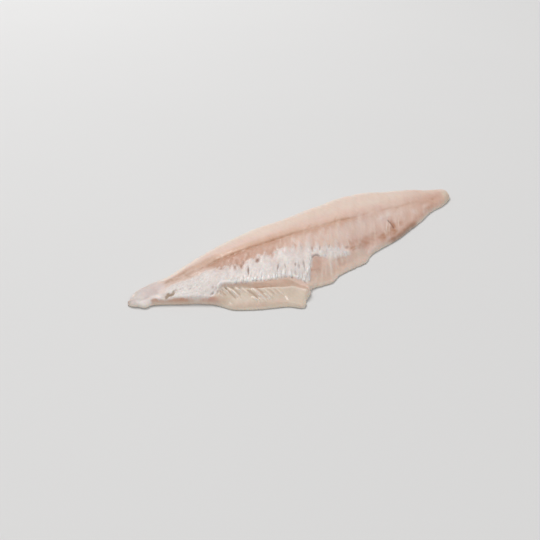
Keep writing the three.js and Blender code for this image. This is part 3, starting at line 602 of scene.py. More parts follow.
def lining_strokes():
    """Soft tufts set in columns that climb from the torn lower edge to the frayed upper edge."""
    rng = np.random.default_rng(41)
    out = []
    foot_x = np.linspace(LINING_FROM, LINING_TO, 1500)
    foot_y = lining_foot(foot_x)
    run = np.concatenate([[0], np.cumsum(np.hypot(np.diff(foot_x), np.diff(foot_y)))])
    s = 0.0
    while s < run[-1]:
        fx, fy = np.interp(s, run, foot_x), np.interp(s, run, foot_y)
        coarse = ramp(fx, (14, 0.0), (34, 0.15), (44, 0.6), (52, 1), (120, 1))
        s += (1.25 + 0.65 * coarse) * rng.uniform(0.8, 1.2)
        angle = float(fibre_angle(fx)) + rng.uniform(-5, 5)
        ux, uy = math.cos(math.radians(angle)), math.sin(math.radians(angle))
        rise = -0.3 - rng.uniform(0, 0.6) * (0.3 + 0.7 * coarse)
        column = rng.uniform(-0.06, 0.06)
        while True:
            length = (2.6 + 2.4 * coarse) * rng.uniform(0.7, 1.35)
            width = (1.4 + 1.1 * coarse) * rng.uniform(0.6, 1.5)
            mid = rise + 0.5 * length
            x, y = fx + ux * mid, fy + uy * mid
            head = rise + length
            hx, hy = fx + ux * head, fy + uy * head
            room = lining_top(hx) - hy
            if hy > lining_top(hx) + 2.2 or hx > LINING_TO + 2 or hx < LINING_FROM - 1:
                break
            near_top = float(ease((2.2 - room) / 4))
            low_part = float(ease((9 - mid) / 9))
            bright = 0.62 + column + rng.uniform(-0.17, 0.17) * (0.6 + 0.4 * low_part) - 0.06 * near_top
            if coarse < 0.5:
                bright = 0.50 + 0.6 * (bright - 0.62)
            out.append(dict(
                at=(x, y), length=length, width=width * (1 - 0.2 * near_top), angle=angle + rng.uniform(-12, 12), bend=rng.uniform(-0.03, 0.03),
                rise=(0.05 + 0.12 * coarse) * rng.uniform(0.4, 1.3) * (0.35 + 0.65 * low_part), bright=bright,
                cover=(0.78 - 0.45 * near_top) * rng.uniform(0.6, 1), order=-mid, kind="tuft",
            ))
            rise += length * rng.uniform(0.55, 0.8)
            if hy > lining_top(hx) - 0.2:
                break
    # wisps along the frayed upper edge
    x0 = 44.0
    while x0 < 92:
        x0 += rng.uniform(1.3, 2.6)
        y0 = float(lining_top(x0)) + rng.uniform(-1.2, 0.6)
        out.append(dict(
            at=(x0, y0), length=rng.uniform(1.8, 3.6), width=rng.uniform(1.2, 2.2), angle=float(fibre_angle(x0)) + rng.uniform(-16, 16),
            bend=rng.uniform(-0.03, 0.03), rise=rng.uniform(0.04, 0.10), bright=rng.uniform(0.40, 0.70), cover=rng.uniform(0.3, 0.7),
            order=-60 - rng.uniform(0, 5), kind="tuft",
        ))
    for (x0, y0), length, width, angle, bright, cover in STREAKS:
        ux, uy = math.cos(math.radians(angle)), math.sin(math.radians(angle))
        out.append(dict(
            at=(x0 + ux * length / 2, y0 + uy * length / 2), length=length, width=width, angle=angle, bend=rng.uniform(-0.012, 0.012),
            rise=0.20 * cover, bright=bright, cover=0.85 * cover, order=-70 - y0 / 100, kind="streak",
        ))
    for (x0, y0), length, width, angle in FINGERS:
        ux, uy = math.cos(math.radians(angle)), math.sin(math.radians(angle))
        out.append(dict(
            at=(x0 + ux * length * 0.36, y0 + uy * length * 0.36), length=0.72 * length, width=width * rng.uniform(0.85, 1.25), angle=angle + rng.uniform(-5, 5),
            bend=rng.uniform(-0.02, 0.02), rise=(0.19 if x0 < 95 else 0.12) * rng.uniform(0.6, 1.2), bright=rng.uniform(0.74, 0.98) if x0 < 95 else rng.uniform(0.62, 0.8),
            cover=0.9 if x0 < 95 else 0.75, order=1, kind="finger" if x0 < 95 else "tuft",
        ))
    # faint streaks between the band and the furrow
    for k in range(40):
        x0 = rng.uniform(84, 136)
        top = float(lining_top(min(x0, 120)))
        out.append(dict(
            at=(x0, rng.uniform(top + 1, -7.5)), length=rng.uniform(4, 8), width=rng.uniform(1.0, 1.8), angle=54 + rng.uniform(-9, 9),
            bend=rng.uniform(-0.015, 0.015), rise=rng.uniform(0.03, 0.07), bright=rng.uniform(0.15, 0.4), cover=rng.uniform(0.08, 0.24),
            order=-80, kind="tuft",
        ))
    return sorted(out, key=lambda s: s["order"])


# Ribs of the flap: from, to, width, strength.
RIBS = [
    ((40.0, -21.2), (40.8, -24.8), 1.0, 0.4), ((43.2, -18.8), (44.5, -23.6), 1.4, 0.8), ((46.0, -19.8), (47.5, -29.8), 1.6, 1.0),
    ((49.1, -21.6), (50.1, -26.6), 1.3, 0.75), ((51.7, -23.4), (52.6, -29.4), 1.3, 0.45), ((52.9, -31.4), (54.3, -36.3), 1.6, 1.0),
    ((56.0, -26.6), (57.5, -37.8), 1.6, 0.85), ((59.3, -33.0), (59.9, -38.8), 1.3, 0.8), ((60.4, -29.6), (61.9, -37.4), 1.0, 0.65),
    ((63.4, -31.0), (64.6, -38.2), 1.0, 0.4), ((66.0, -32.8), (67.0, -39.2), 1.1, 0.4), ((67.5, -39.8), (66.8, -43.6), 1.1, 0.4),
    ((56.3, -32.4), (56.9, -34.6), 0.8, 1.0),
]
# Thin brownish hollows between the ribs, darkened with painted shade: from, to, width, strength.
HOLLOWS = [
    ((41.4, -19.8), (42.8, -24.6), 1.2, 0.75), ((44.7, -18.8), (45.9, -29.4), 1.0, 0.9), ((47.8, -20.4), (48.8, -28.6), 1.0, 0.8),
    ((50.6, -22.8), (51.6, -28.6), 0.9, 0.45), ((53.4, -26.4), (55.4, -35.0), 1.7, 0.95), ((58.0, -27.6), (59.4, -37.4), 1.2, 0.8),
    ((62.3, -30.6), (63.3, -37.4), 0.9, 0.45), ((39.0, -22.0), (39.7, -24.8), 0.9, 0.3), ((65.0, -32.4), (65.8, -38.0), 0.8, 0.25),
]


def rib_strokes():
    rng = np.random.default_rng(43)
    out = []
    for listed, kind in ((HOLLOWS, "hollow"), (RIBS, "rib")):
        for (x0, y0), (x1, y1), width, s in listed:
            out.append(dict(
                at=((x0 + x1) / 2, (y0 + y1) / 2), length=math.hypot(x1 - x0, y1 - y0), width=width, angle=math.degrees(math.atan2(y0 - y1, x0 - x1)),
                bend=-0.012 * rng.uniform(0.5, 1.5), rise=0.42 * s, bright=s, cover=s, order=0, kind=kind,
            ))
    return out


def stroke_shape(s, x, y):
    """Position along a stroke (0 to 1 from foot to head) and across it (-1 to 1)."""
    a, c = along_across(x - s["at"][0], y - s["at"][1], s["angle"])
    half = s["length"] / 2
    c = c - s["bend"] * (a * a - half * half / 3)
    u = (a / half + 1) / 2
    if s["kind"] == "tuft":
        wide, blunt, taper = 1.35, np.sqrt(np.clip(u / 0.35, 0, 1)), 1 - 0.5 * np.clip(u, 0, 1) ** 1.6
    elif s["kind"] == "streak":
        wide, blunt, taper = 1.4, np.sqrt(np.clip(u / 0.3, 0, 1)), 1 - 0.35 * np.clip(u, 0, 1) ** 2
    elif s["kind"] == "finger":
        wide, blunt, taper = 1.15, np.sqrt(np.clip(u / 0.14, 0, 1)), 1 - 0.6 * np.clip(u, 0, 1) ** 1.4
    else:
        wide, blunt, taper = 1.35, np.sqrt(np.clip(u / 0.25, 0, 1)), np.sqrt(np.clip((1 - u) / 0.2, 0, 1)) * (0.8 + 0.2 * u)
    half_width = np.maximum(wide * s["width"] / 2 * blunt * taper, 1e-3)
    v = np.where((u > 0) & (u < 1), c / half_width, 9)
    return u, v


def paint(xs, ys, z, m):
    """Adds the strokes to a grid of stations and rows."""
    X = np.repeat(xs[:, None], ys.shape[1], 1)
    # the sheet under the tufts, softer at its upper edge
    a, c = along_across(X, ys, 50)
    top = lining_top(X) + ramp(X, (12, 0.3), (45, 0.6), (60, 1)) * (1.1 * noise(c / 3.4, a / 14, 70) + 0.7 * noise(c / 1.6, a / 9, 71)) + 0.3 * noise(c / 0.8, a / 6, 72)
    scallop = ramp(X, (34, 0), (50, 1))
    foot = lining_foot(X) + scallop * (0.40 * noise(c / 1.7, a / 12, 73) + 0.2 * noise(c / 0.8, a / 7, 74)) + (1 - scallop) * 0.45 * noise(X / 2.3, 0.5, 69)
    held = np.where(X > 36, np.minimum(1, 5 * m["on_loin"]), 1.0)
    ends = ease((X - 13.6 - 0.35 * (ys + 6) + 0.9 * noise(ys / 1.5, 0.5, 81)) / 8.0) * ease((118.6 + 1.2 * noise(ys / 1.2, 0.5, 82) - X) / 2.5)
    soft = ramp(X, (12, 2.6), (40, 2.6), (50, 4.0), (62, 4.4), (90, 4.0), (120, 2.8))
    sheet = ease((top - ys) / soft + 0.35) * ease((ys - foot) / ramp(X, (40, 0.8), (95, 0.9), (102, 2.2), (120, 2.2)) + 0.3) * ends * held
    soft_sheet = ease((top - ys) / (soft + 2.2) + 0.2) * ease((ys - foot) / ramp(X, (40, 0.9), (95, 1.0), (102, 3.0), (120, 3.0)) + 0.3) * ends * held
    fine_part = ramp(X, (12, 1), (36, 0.9), (50, 0), (120, 0))
    cover = sheet * (0.84 + 0.10 * fine_part)
    specks = ease((noise(X / 0.95, ys / 0.95, 84) - 0.30) / 0.35)
    cloud = 0.20 * noise(X / 5.5, ys / 4.0, 98) + 0.18 * noise(c / 2.0, a / 3.6, 99) + 0.10 * noise(X / 1.7, ys / 1.5, 66)
    a35, c35 = along_across(X, ys, 36)
    fibrous = 0.13 * noise(c35 / 0.8, a35 / 3.2, 101) + 0.10 * noise(c35 / 0.45, a35 / 1.6, 102)
    edge_in = np.clip(top - ys, 0, 20)
    tone = -0.36 * (1 - ease(edge_in / 9)) * ramp(X, (12, 1), (46, 1), (58, 0.6), (70, 0.3), (84, 0.1), (120, 0.1)) + 0.10 * noise(X / 1.2, ys / 1.0, 68)
    bright = 0.60 - 0.10 * fine_part + tone + cloud * (1 - 0.5 * fine_part) + 0.06 * noise(c / 1.1, a / 3, 85) + fine_part * (fibrous - 0.30 * specks)
    lift = soft_sheet * (ramp(X, (12, 0.10), (36, 0.20), (50, 0.30), (110, 0.30), (120, 0.2)) + fine_part * (0.35 * fibrous - 0.08 * specks))
    ribs, dips = np.zeros_like(z), np.zeros_like(z)
    for s in lining_strokes() + rib_strokes():
        reach = s["length"] * 0.5 + 1.5 * s["width"] + 0.5
        i0, i1 = np.searchsorted(xs, (s["at"][0] - reach, s["at"][0] + reach))
        if i1 <= i0:
            continue
        yy = ys[i0:i1]
        j = np.nonzero((yy.max(0) > s["at"][1] - reach) & (yy.min(0) < s["at"][1] + reach))[0]
        if not len(j):
            continue
        sl = (slice(i0, i1), slice(j[0], j[-1] + 1))
        u, v = stroke_shape(s, X[sl], ys[sl])
        soft_dome = np.clip(1 - v * v, 0, 1) ** 1.6
        if s["kind"] == "hollow":
            dips[sl] = np.maximum(dips[sl], s["bright"] * soft_dome * ease(u / 0.2) * m["flap"][sl])
            continue
        if s["kind"] == "rib":
            ribs[sl] = np.maximum(ribs[sl], s["rise"] * soft_dome * ease(u / 0.15) * m["flap"][sl])
            m["white"][sl] = np.maximum(m["white"][sl], s["bright"] * ease(1.3 * soft_dome) * m["flap"][sl])
            m["wet"][sl] = np.maximum(m["wet"][sl], 0.5 * s["bright"] ** 2 * ease(1.5 * soft_dome) * m["flap"][sl])
            continue
        head_fade = ease((1 - u) / 0.5)
        hold = held[sl]
        inside = np.clip(1.25 * soft_dome, 0, 1) * head_fade * s["cover"] * hold
        inside = inside * (1 - 0.6 * fine_part[sl])
        # each tuft darkens towards its sides: painted shade between the tufts
        shade = s["bright"] + 0.7 * cloud[sl] + tone[sl] - 0.08 * np.clip(np.abs(v), 0, 1) ** 2 + 0.06 * (0.5 - u)
        bright[sl] = bright[sl] * (1 - inside) + shade * inside
        cover[sl] = 1 - (1 - cover[sl]) * (1 - inside * (1.0 if s["kind"] == "finger" else 0.9))
        lift[sl] = np.maximum(lift[sl], (0.10 * (s["kind"] == "finger") + 0.9 * lift[sl] + s["rise"] * soft_dome * hold) * np.minimum(1, 4 * inside))
    bites = np.clip(patches(X, ys, BITES), 0, 1)
    cover, lift = cover * (1 - 0.8 * bites), lift * (1 - 0.7 * bites)
    # a rolled edge at the notch between the wall and the flap, lightened with a painted highlight, with a painted
    # shadow line under it; the lining's foot is lightened with painted light where the step shades it, and a darker
    # line runs 2 mm above the foot
    rolled = bell((ys - foot - 0.7) / 0.7) * ease((X - 34) / 1.5) * ease((46 - X) / 4) * (0.45 + 0.5 * noise(X / 1.6, ys / 1.2, 67))
    lift = lift + 0.12 * rolled
    bright = bright + (1.0 - bright) * rolled * 0.5
    cover = np.maximum(cover, rolled)
    brink = bell((ys - foot - 0.9) / 1.3) * ramp(X, (38, 0), (44, 1), (58, 0.9), (64, 0.2), (70, 0))
    bright = bright + (1.0 - bright) * 0.75 * brink
    cover = np.maximum(cover, 0.95 * brink)
    bright = bright - 0.35 * bell((ys - foot - 2.0) / 0.5) * ease((X - 35) / 1.5) * ease((45 - X) / 2.5)
    under_roll = bell((ys - foot + 0.35) / 0.38) * ease((X - 39.5) / 1.5) * ease((55 - X) / 3)
    m["crease"] = np.clip(np.maximum(m["crease"], under_roll), 0, 1)
    # a raised cream lip above the wall at the nape end
    lip = bell((ys - foot - 0.5) / 0.55) * ease((X - 12) / 1.5) * ease((19.5 - X) / 2)
    lift = lift + 0.20 * lip
    m["lip"] = np.clip(np.maximum(m["lip"], 0.8 * lip), 0, 1)
    cover = cover * (1 - 0.5 * lip)
    z = z + lift + ribs - 0.22 * dips * (1 - ease(ribs / 0.2))
    m["lining"] = np.clip(cover, 0, 1)
    m["fine"] = np.clip(fine_part, 0, 1)
    m["bright"] = np.clip(bright, 0, 1)
    # painted shade in the hollows between the ribs, kept off the ribs themselves
    m["gap_shade"] = np.clip(np.maximum(m["gap_shade"], dips) * (1 - ease(ribs / 0.25)), 0, 1)
    return z


# ---------------------------------------------------------------------------------------------------------------
# The fillet's mesh: closed loops across, one for each station along.
# ---------------------------------------------------------------------------------------------------------------
ALONG = 590
BELLY_ROWS, INNER_ROWS, BACK_ROWS = 9, 118, 22
SKIRT, UNDER = 4, 8
TOP = BELLY_ROWS + INNER_ROWS + BACK_ROWS


def stations():
    """Stations along, closer together under the lining and at both ends."""
    x = np.linspace(0, LENGTH, 6000)
    density = 1 + 0.55 * ease((x - 8) / 8) * ease((128 - x) / 14) + 2.2 * bell(x / 2.5) + 2.2 * bell((LENGTH - x) / 2.5)
    total = np.concatenate([[0], np.cumsum(0.5 * (density[1:] + density[:-1]) * np.diff(x))])
    return np.interp(np.linspace(0, total[-1], ALONG + 1), total, x)


def rows_at(x):
    belly, back = belly_edge(x), back_edge(x)
    width = back - belly
    r1, r2 = np.minimum(belly_rim(x), 0.12 * width), np.minimum(RIM_BACK, 0.42 * width)
    a = 1 - np.cos(np.pi / 2 * np.arange(BELLY_ROWS) / BELLY_ROWS)
    b = np.arange(INNER_ROWS) / INNER_ROWS
    b = b + 0.25 * b * (b - 1)  # closer together on the belly side
    c = np.sin(np.pi / 2 * np.arange(BACK_ROWS + 1) / BACK_ROWS)
    lo, hi = (belly + r1)[:, None], (back - r2)[:, None]
    return np.concatenate([belly[:, None] + r1[:, None] * a, lo + (hi - lo) * b, hi + r2[:, None] * c], 1)


def outward(x, edge, sign):
    """Unit vectors that point out of the outline at an edge."""
    y = edge(x)
    tx, ty = np.gradient(x), np.gradient(y)
    n = np.stack([ty * -sign, tx * sign], 1)
    return n / np.maximum(np.linalg.norm(n, axis=1), 1e-9)[:, None]


XS = stations()
YS = rows_at(XS)
Z, FIELD = surface(np.repeat(XS[:, None], YS.shape[1], 1), YS)
FIELD["wet"] = np.zeros_like(Z)
Z = paint(XS, YS, Z, FIELD)


def height_at(x, y):
    """Height of the finished surface at one point."""
    i = int(np.clip(np.searchsorted(XS, x) - 1, 0, len(XS) - 2))
    f = (x - XS[i]) / (XS[i + 1] - XS[i])
    return (1 - f) * np.interp(y, YS[i], Z[i]) + f * np.interp(y, YS[i + 1], Z[i + 1])


def add_mesh(name, positions, faces, values):
    mesh = bpy.data.meshes.new(name)
    mesh.from_pydata(positions.tolist(), [], faces)
    for key in MASKS:
        v = np.asarray(values.get(key, np.zeros(len(positions))), np.float32)
        mesh.attributes.new(key, "FLOAT", "POINT").data.foreach_set("value", v)
    mesh.update()
    mesh.shade_smooth()
    ob = bpy.data.objects.new(name, mesh)
    bpy.context.scene.collection.objects.link(ob)
    return ob


def make_fillet():
    du = 0.5 * LENGTH * (1 - np.cos(np.pi * np.linspace(0, 1, 4000)))
    outs = {}
    for side, edge, sign in (("belly", plain_belly, -1), ("back", plain_back, 1)):
        n = outward(du, edge, sign)
        outs[side] = np.stack([np.interp(XS, du, n[:, k]) for k in (0, 1)], 1)
        outs[side][0], outs[side][-1] = (-1, 0), (1, 0)
    inset_belly = 0.75 + 0.7 * ease((12 - XS) / 10) + 0.15 * noise(XS / 4, 0.5, 141)
    inset_back = 1.1 + 0.9 * ease(XS / 30) * ease((LENGTH - XS) / 25)
    ends = ease(XS / 5) * ease((LENGTH - XS) / 5)
    inset_back = inset_belly * (1 - ends) + inset_back * ends
    wide = 0.35 * (YS[:, -1] - YS[:, 0])  # the rims narrow with the tips, so the two sides never cross
    inset_belly, inset_back = np.minimum(inset_belly, wide), np.minimum(inset_back, wide)
    skirts = {}
    for side, row, inset in (("belly", 0, inset_belly), ("back", -1, inset_back)):
        rows = []
        for k in range(1, SKIRT + 1):
            th = np.pi / 2 * k / SKIRT
            px = XS - outs[side][:, 0] * inset * (1 - math.cos(th))
            py = YS[:, row] - outs[side][:, 1] * inset * (1 - math.cos(th))
            rows.append(np.stack([px, py, Z[:, row] * (1 - math.sin(th))], 1))
        skirts[side] = rows
    columns, tags = [], []
    for k in range(SKIRT, 0, -1):
        columns.append(skirts["belly"][k - 1])
        tags.append(("edge", 0))
    for j in range(TOP + 1):
        columns.append(np.stack([XS, YS[:, j], Z[:, j]], 1))
        tags.append(("top", j))
    for k in range(1, SKIRT + 1):
        columns.append(skirts["back"][k - 1])
        tags.append(("edge", TOP))
    a, b = skirts["back"][-1], skirts["belly"][-1]
    for k in range(1, UNDER):
        columns.append(a + (b - a) * k / UNDER)
        tags.append(("under", 0))
    P = np.stack(columns, 1)  # station, loop, xyz
    count = P.shape[1]
    index = np.arange((ALONG + 1) * count).reshape(ALONG + 1, count)
    for end in (0, ALONG):  # each end closes in a short upright line
        index[end, SKIRT : SKIRT + TOP + 1] = index[end, SKIRT]
        for k in range(SKIRT):
            index[end, SKIRT + TOP + 1 + k] = index[end, SKIRT - 1 - k]
        index[end, 2 * SKIRT + TOP + 1 :] = index[end, 0]
    nxt = np.roll(np.arange(count), -1)
    faces = []
    for i in range(ALONG):
        for q in np.stack([index[i], index[i + 1], index[i + 1][nxt], index[i][nxt]], 1).tolist():
            face = [v for k, v in enumerate(q) if v != q[k - 1]]
            if len(face) >= 3 and len(set(face)) == len(face):
                faces.append(face)
    alive = np.zeros(index.size, bool)
    alive[[v for f in faces for v in f]] = True
    remap = np.cumsum(alive) - 1
    faces = [remap[f].tolist() for f in faces]
    flat = P.reshape(-1, 3)
    values = {}
    for name in MASKS:
        cols = []
        for kind, j in tags:
            if kind == "under":
                cols.append(np.full(ALONG + 1, {"under": 1.0, "back": 0.4}.get(name, 0.0)))
            else:
                cols.append(FIELD[name][:, j] if name in FIELD else np.zeros(ALONG + 1))
        values[name] = np.stack(cols, 1).reshape(-1)[alive]
    return add_mesh("fillet_flesh", place(flat[:, 0], flat[:, 1], flat[:, 2])[alive], faces, values)


# ---------------------------------------------------------------------------------------------------------------
# Loose strands: the tips of the tufts, whiskers of the frayed edge and the ribs' crests, as thin tapered forms.
# ---------------------------------------------------------------------------------------------------------------
class Bundle:
    def __init__(self):
        self.points, self.faces, self.values = [], [], {k: [] for k in MASKS}

    def strand(self, path, width, thick, marks, sides=6, power=1.0):
        """A closed tapered form along a path of (x, y, z), with an oval section."""
        path = np.array(path, float)
        n = len(path)
        tangent = np.gradient(path, axis=0)
        tangent /= np.maximum(np.linalg.norm(tangent, axis=1), 1e-9)[:, None]
        across = np.stack([tangent[:, 1], -tangent[:, 0], np.zeros(n)], 1)
        across /= np.maximum(np.linalg.norm(across, axis=1), 1e-9)[:, None]
        normal = np.cross(across, tangent)
        start = len(self.points)
        u = np.linspace(0, 1, n)
        profile = np.sqrt(np.clip(u / 0.18, 0, 1)) * (1 - 0.9 * u**1.8) ** power
        self.points.append(path[0])
        for i in range(1, n - 1):
            for k in range(sides):
                th = 2 * math.pi * k / sides
                self.points.append(path[i] + across[i] * width / 2 * profile[i] * math.cos(th) + normal[i] * thick / 2 * profile[i] * math.sin(th))
        self.points.append(path[-1])
        last = len(self.points) - 1

        def ring(i, k):
            return start + 1 + (i - 1) * sides + k % sides

        for k in range(sides):
            self.faces.append([start, ring(1, k), ring(1, k + 1)])
            self.faces.append([last, ring(n - 2, k + 1), ring(n - 2, k)])
            for i in range(1, n - 2):
                self.faces.append([ring(i, k), ring(i + 1, k), ring(i + 1, k + 1), ring(i, k + 1)])
        where = np.concatenate([[0], np.repeat(u[1:-1], sides), [1]])
        for key in MASKS:
            v = marks.get(key, 0.0)
            self.values[key].append(v(where) if callable(v) else np.full(len(where), float(v)))

    def build(self, name):
        p = np.array(self.points)
        values = {k: np.clip(np.concatenate(v), 0, 1) for k, v in self.values.items()}
        return add_mesh(name, place(p[:, 0], p[:, 1], p[:, 2]), self.faces, values)


def laid(x0, y0, angle, length, bend, lift, count=8):
    """A path over the surface from (x0, y0)."""
    s = np.linspace(0, 1, count)
    turn = np.radians(angle) + bend * (s - 0.5)
    step = length / (count - 1)
    x = x0 + np.concatenate([[0], np.cumsum(np.cos(turn[:-1]) * step)])
    y = y0 + np.concatenate([[0], np.cumsum(np.sin(turn[:-1]) * step)])
    rough = np.array([height_at(a, b) for a, b in zip(x, y)])
    z = rough.copy()
    z[1:-1] = 0.25 * rough[:-2] + 0.5 * rough[1:-1] + 0.25 * rough[2:]
    z = np.maximum(z, rough - 0.02) + lift
    return np.stack([x, y, np.maximum(z, 0.25)], 1)


def make_strands():
    rng = np.random.default_rng(47)
    bundle = Bundle()
    foot_x = np.linspace(LINING_FROM + 1, LINING_TO - 1, 1500)
    foot_y = lining_foot(foot_x)
    run = np.concatenate([[0], np.cumsum(np.hypot(np.diff(foot_x), np.diff(foot_y)))])
    # tips along the lower edge
    s = 0.0
    while s < run[-1]:
        fx, fy = float(np.interp(s, run, foot_x)), float(np.interp(s, run, foot_y))
        coarse = float(ramp(fx, (14, 0.0), (36, 0.1), (50, 0.8), (58, 1), (120, 1)))
        s += (1.5 + 0.9 * coarse) * rng.uniform(0.6, 1.4)
        if fx < 50 or fx > 93.5:
            continue
        angle = float(fibre_angle(fx)) + rng.uniform(-9, 9)
        out = rng.uniform(-0.2, 0.6) * (0.35 + 0.65 * coarse)
        length = (1.4 + 2.6 * coarse) * rng.uniform(0.7, 1.4)
        width = (0.60 + 0.45 * coarse) * rng.uniform(0.7, 1.3)
        x0, y0 = fx - math.cos(math.radians(angle)) * out, fy - math.sin(math.radians(angle)) * out
        y0 = max(y0, float(belly_edge(x0)) + 0.25)
        bright = rng.uniform(0.75, 1.0) if coarse > 0.5 else rng.uniform(0.6, 0.8)
        path = laid(x0, y0, angle, length, rng.uniform(-0.35, 0.35), 0.0)
        bundle.strand(path, width, 0.24 + 0.20 * coarse, {"lining": lambda u: 1 - 0.3 * u, "bright": lambda u, b=bright: b - 0.25 * u, "wet": 0.1})
    # a few finer threads over the lining
    for k in range(60):
        x0 = rng.uniform(46, 116)
        low, high = float(lining_foot(x0)), float(lining_top(x0))
        y0 = rng.uniform(low + 0.8, 0.5 * (low + high) + 1)
        length = rng.uniform(1.8, 4.0)
        top_part = float(ease((y0 - high + 2.5) / 3))
        width = rng.uniform(0.35, 0.75)
        path = laid(x0, y0, float(fibre_angle(x0)) + rng.uniform(-14, 14), length, rng.uniform(-0.5, 0.5), -0.06, 7)
        b = rng.uniform(0.62, 0.88) * (1 - 0.15 * top_part)
        bundle.strand(path, width, 0.24, {"lining": lambda u, t=top_part: 1 - (0.25 + 0.45 * t) * u, "bright": lambda u, b=b: b - 0.15 * u, "wet": 0.2})
    # whiskers above the frayed edge
    for k in range(22):
        x0 = rng.uniform(46, 95)
        y0 = float(lining_top(x0)) + rng.uniform(-1.2, 0.8)
        length = rng.uniform(1.6, 3.6) * float(ramp(x0, (44, 0.8), (92, 1.0), (100, 1.4), (118, 1.3)))
        path = laid(x0, y0, float(fibre_angle(x0)) + rng.uniform(-24, 24), length, rng.uniform(-0.6, 0.6), -0.05, 8)
        b = rng.uniform(0.45, 0.75)
        bundle.strand(path, rng.uniform(0.25, 0.5), 0.2, {"lining": lambda u: 0.7 - 0.5 * u, "bright": b, "wet": 0.2})
    # crests of the flap's ribs
    for (x0, y0), (x1, y1), width, s in RIBS:
        if s < 0.7:
            continue
        angle = math.degrees(math.atan2(y1 - y0, x1 - x0))
        length = math.hypot(x1 - x0, y1 - y0) * 0.8
        path = laid(x0 + 0.1 * (x1 - x0), y0 + 0.1 * (y1 - y0), angle, length, rng.uniform(-0.16, 0.0), -0.08, 16)[::-1]
        bundle.strand(path, 0.5 * width, 0.26, {"flap": 1, "white": lambda u, s=s: s * (1.0 - 0.3 * u), "wet": 0.4}, power=0.6)
    return bundle.build("lining_strands")


# ---------------------------------------------------------------------------------------------------------------
# Materials
# ---------------------------------------------------------------------------------------------------------------
def srgb(r, g, b):
    return tuple(((v / 255 + 0.055) / 1.055) ** 2.4 if v > 10 else v / 255 / 12.92 for v in (r, g, b)) + (1,)


class Tree:
    def __init__(self, name):
        self.mat = bpy.data.materials.new(name)
        self.mat.use_nodes = True
        self.nt = self.mat.node_tree
        self.nt.nodes.clear()
        self.out = self.nt.nodes.new("ShaderNodeOutputMaterial")
        self.bsdf = self.nt.nodes.new("ShaderNodeBsdfPrincipled")
        self.link(self.bsdf.outputs[0], self.out.inputs[0])

    def link(self, a, b):
        self.nt.links.new(a, b)

    def put(self, socket, value):
        if isinstance(value, bpy.types.NodeSocket):
            self.link(value, socket)
        elif value is not None:
            socket.default_value = value

    def attribute(self, name, share=1.0):
        n = self.nt.nodes.new("ShaderNodeAttribute")
        n.attribute_name = name
        return n.outputs["Fac"] if share == 1.0 else self.math("MULTIPLY", n.outputs["Fac"], share)

    def math(self, op, a, b=None, c=None, clamp=False):
        n = self.nt.nodes.new("ShaderNodeMath")
        n.operation, n.use_clamp = op, clamp
        for k, v in enumerate((a, b, c)):
            if v is not None:
                self.put(n.inputs[k], v)
        return n.outputs[0]

    def mix(self, fac, a, b, mode="MIX"):
        n = self.nt.nodes.new("ShaderNodeMix")
        n.data_type, n.blend_type, n.clamp_factor = "RGBA", mode, True
        self.put(n.inputs[0], fac)
        self.put(n.inputs[6], a)
        self.put(n.inputs[7], b)
        return n.outputs[2]

    def mapped(self, scale=(1, 1, 1), turn=0.0):
        if not hasattr(self, "coords"):
            self.coords = self.nt.nodes.new("ShaderNodeTexCoord").outputs["Object"]
        n = self.nt.nodes.new("ShaderNodeMapping")
        n.inputs["Rotation"].default_value = (0, 0, math.radians(turn))
        n.inputs["Scale"].default_value = scale
        self.link(self.coords, n.inputs["Vector"])
        return n.outputs[0]

    def noise(self, vector, scale, detail=2.0, rough=0.5, distort=0.0):
        n = self.nt.nodes.new("ShaderNodeTexNoise")
        n.inputs["Scale"].default_value = scale
        n.inputs["Detail"].default_value = detail
        n.inputs["Roughness"].default_value = rough
        n.inputs["Distortion"].default_value = distort
        self.link(vector, n.inputs["Vector"])
        return n.outputs["Fac"]

    def range(self, value, a, b, c=0.0, d=1.0):
        n = self.nt.nodes.new("ShaderNodeMapRange")
        n.inputs["From Min"].default_value, n.inputs["From Max"].default_value = a, b
        n.inputs["To Min"].default_value, n.inputs["To Max"].default_value = c, d
        self.link(value, n.inputs["Value"])
        return n.outputs[0]


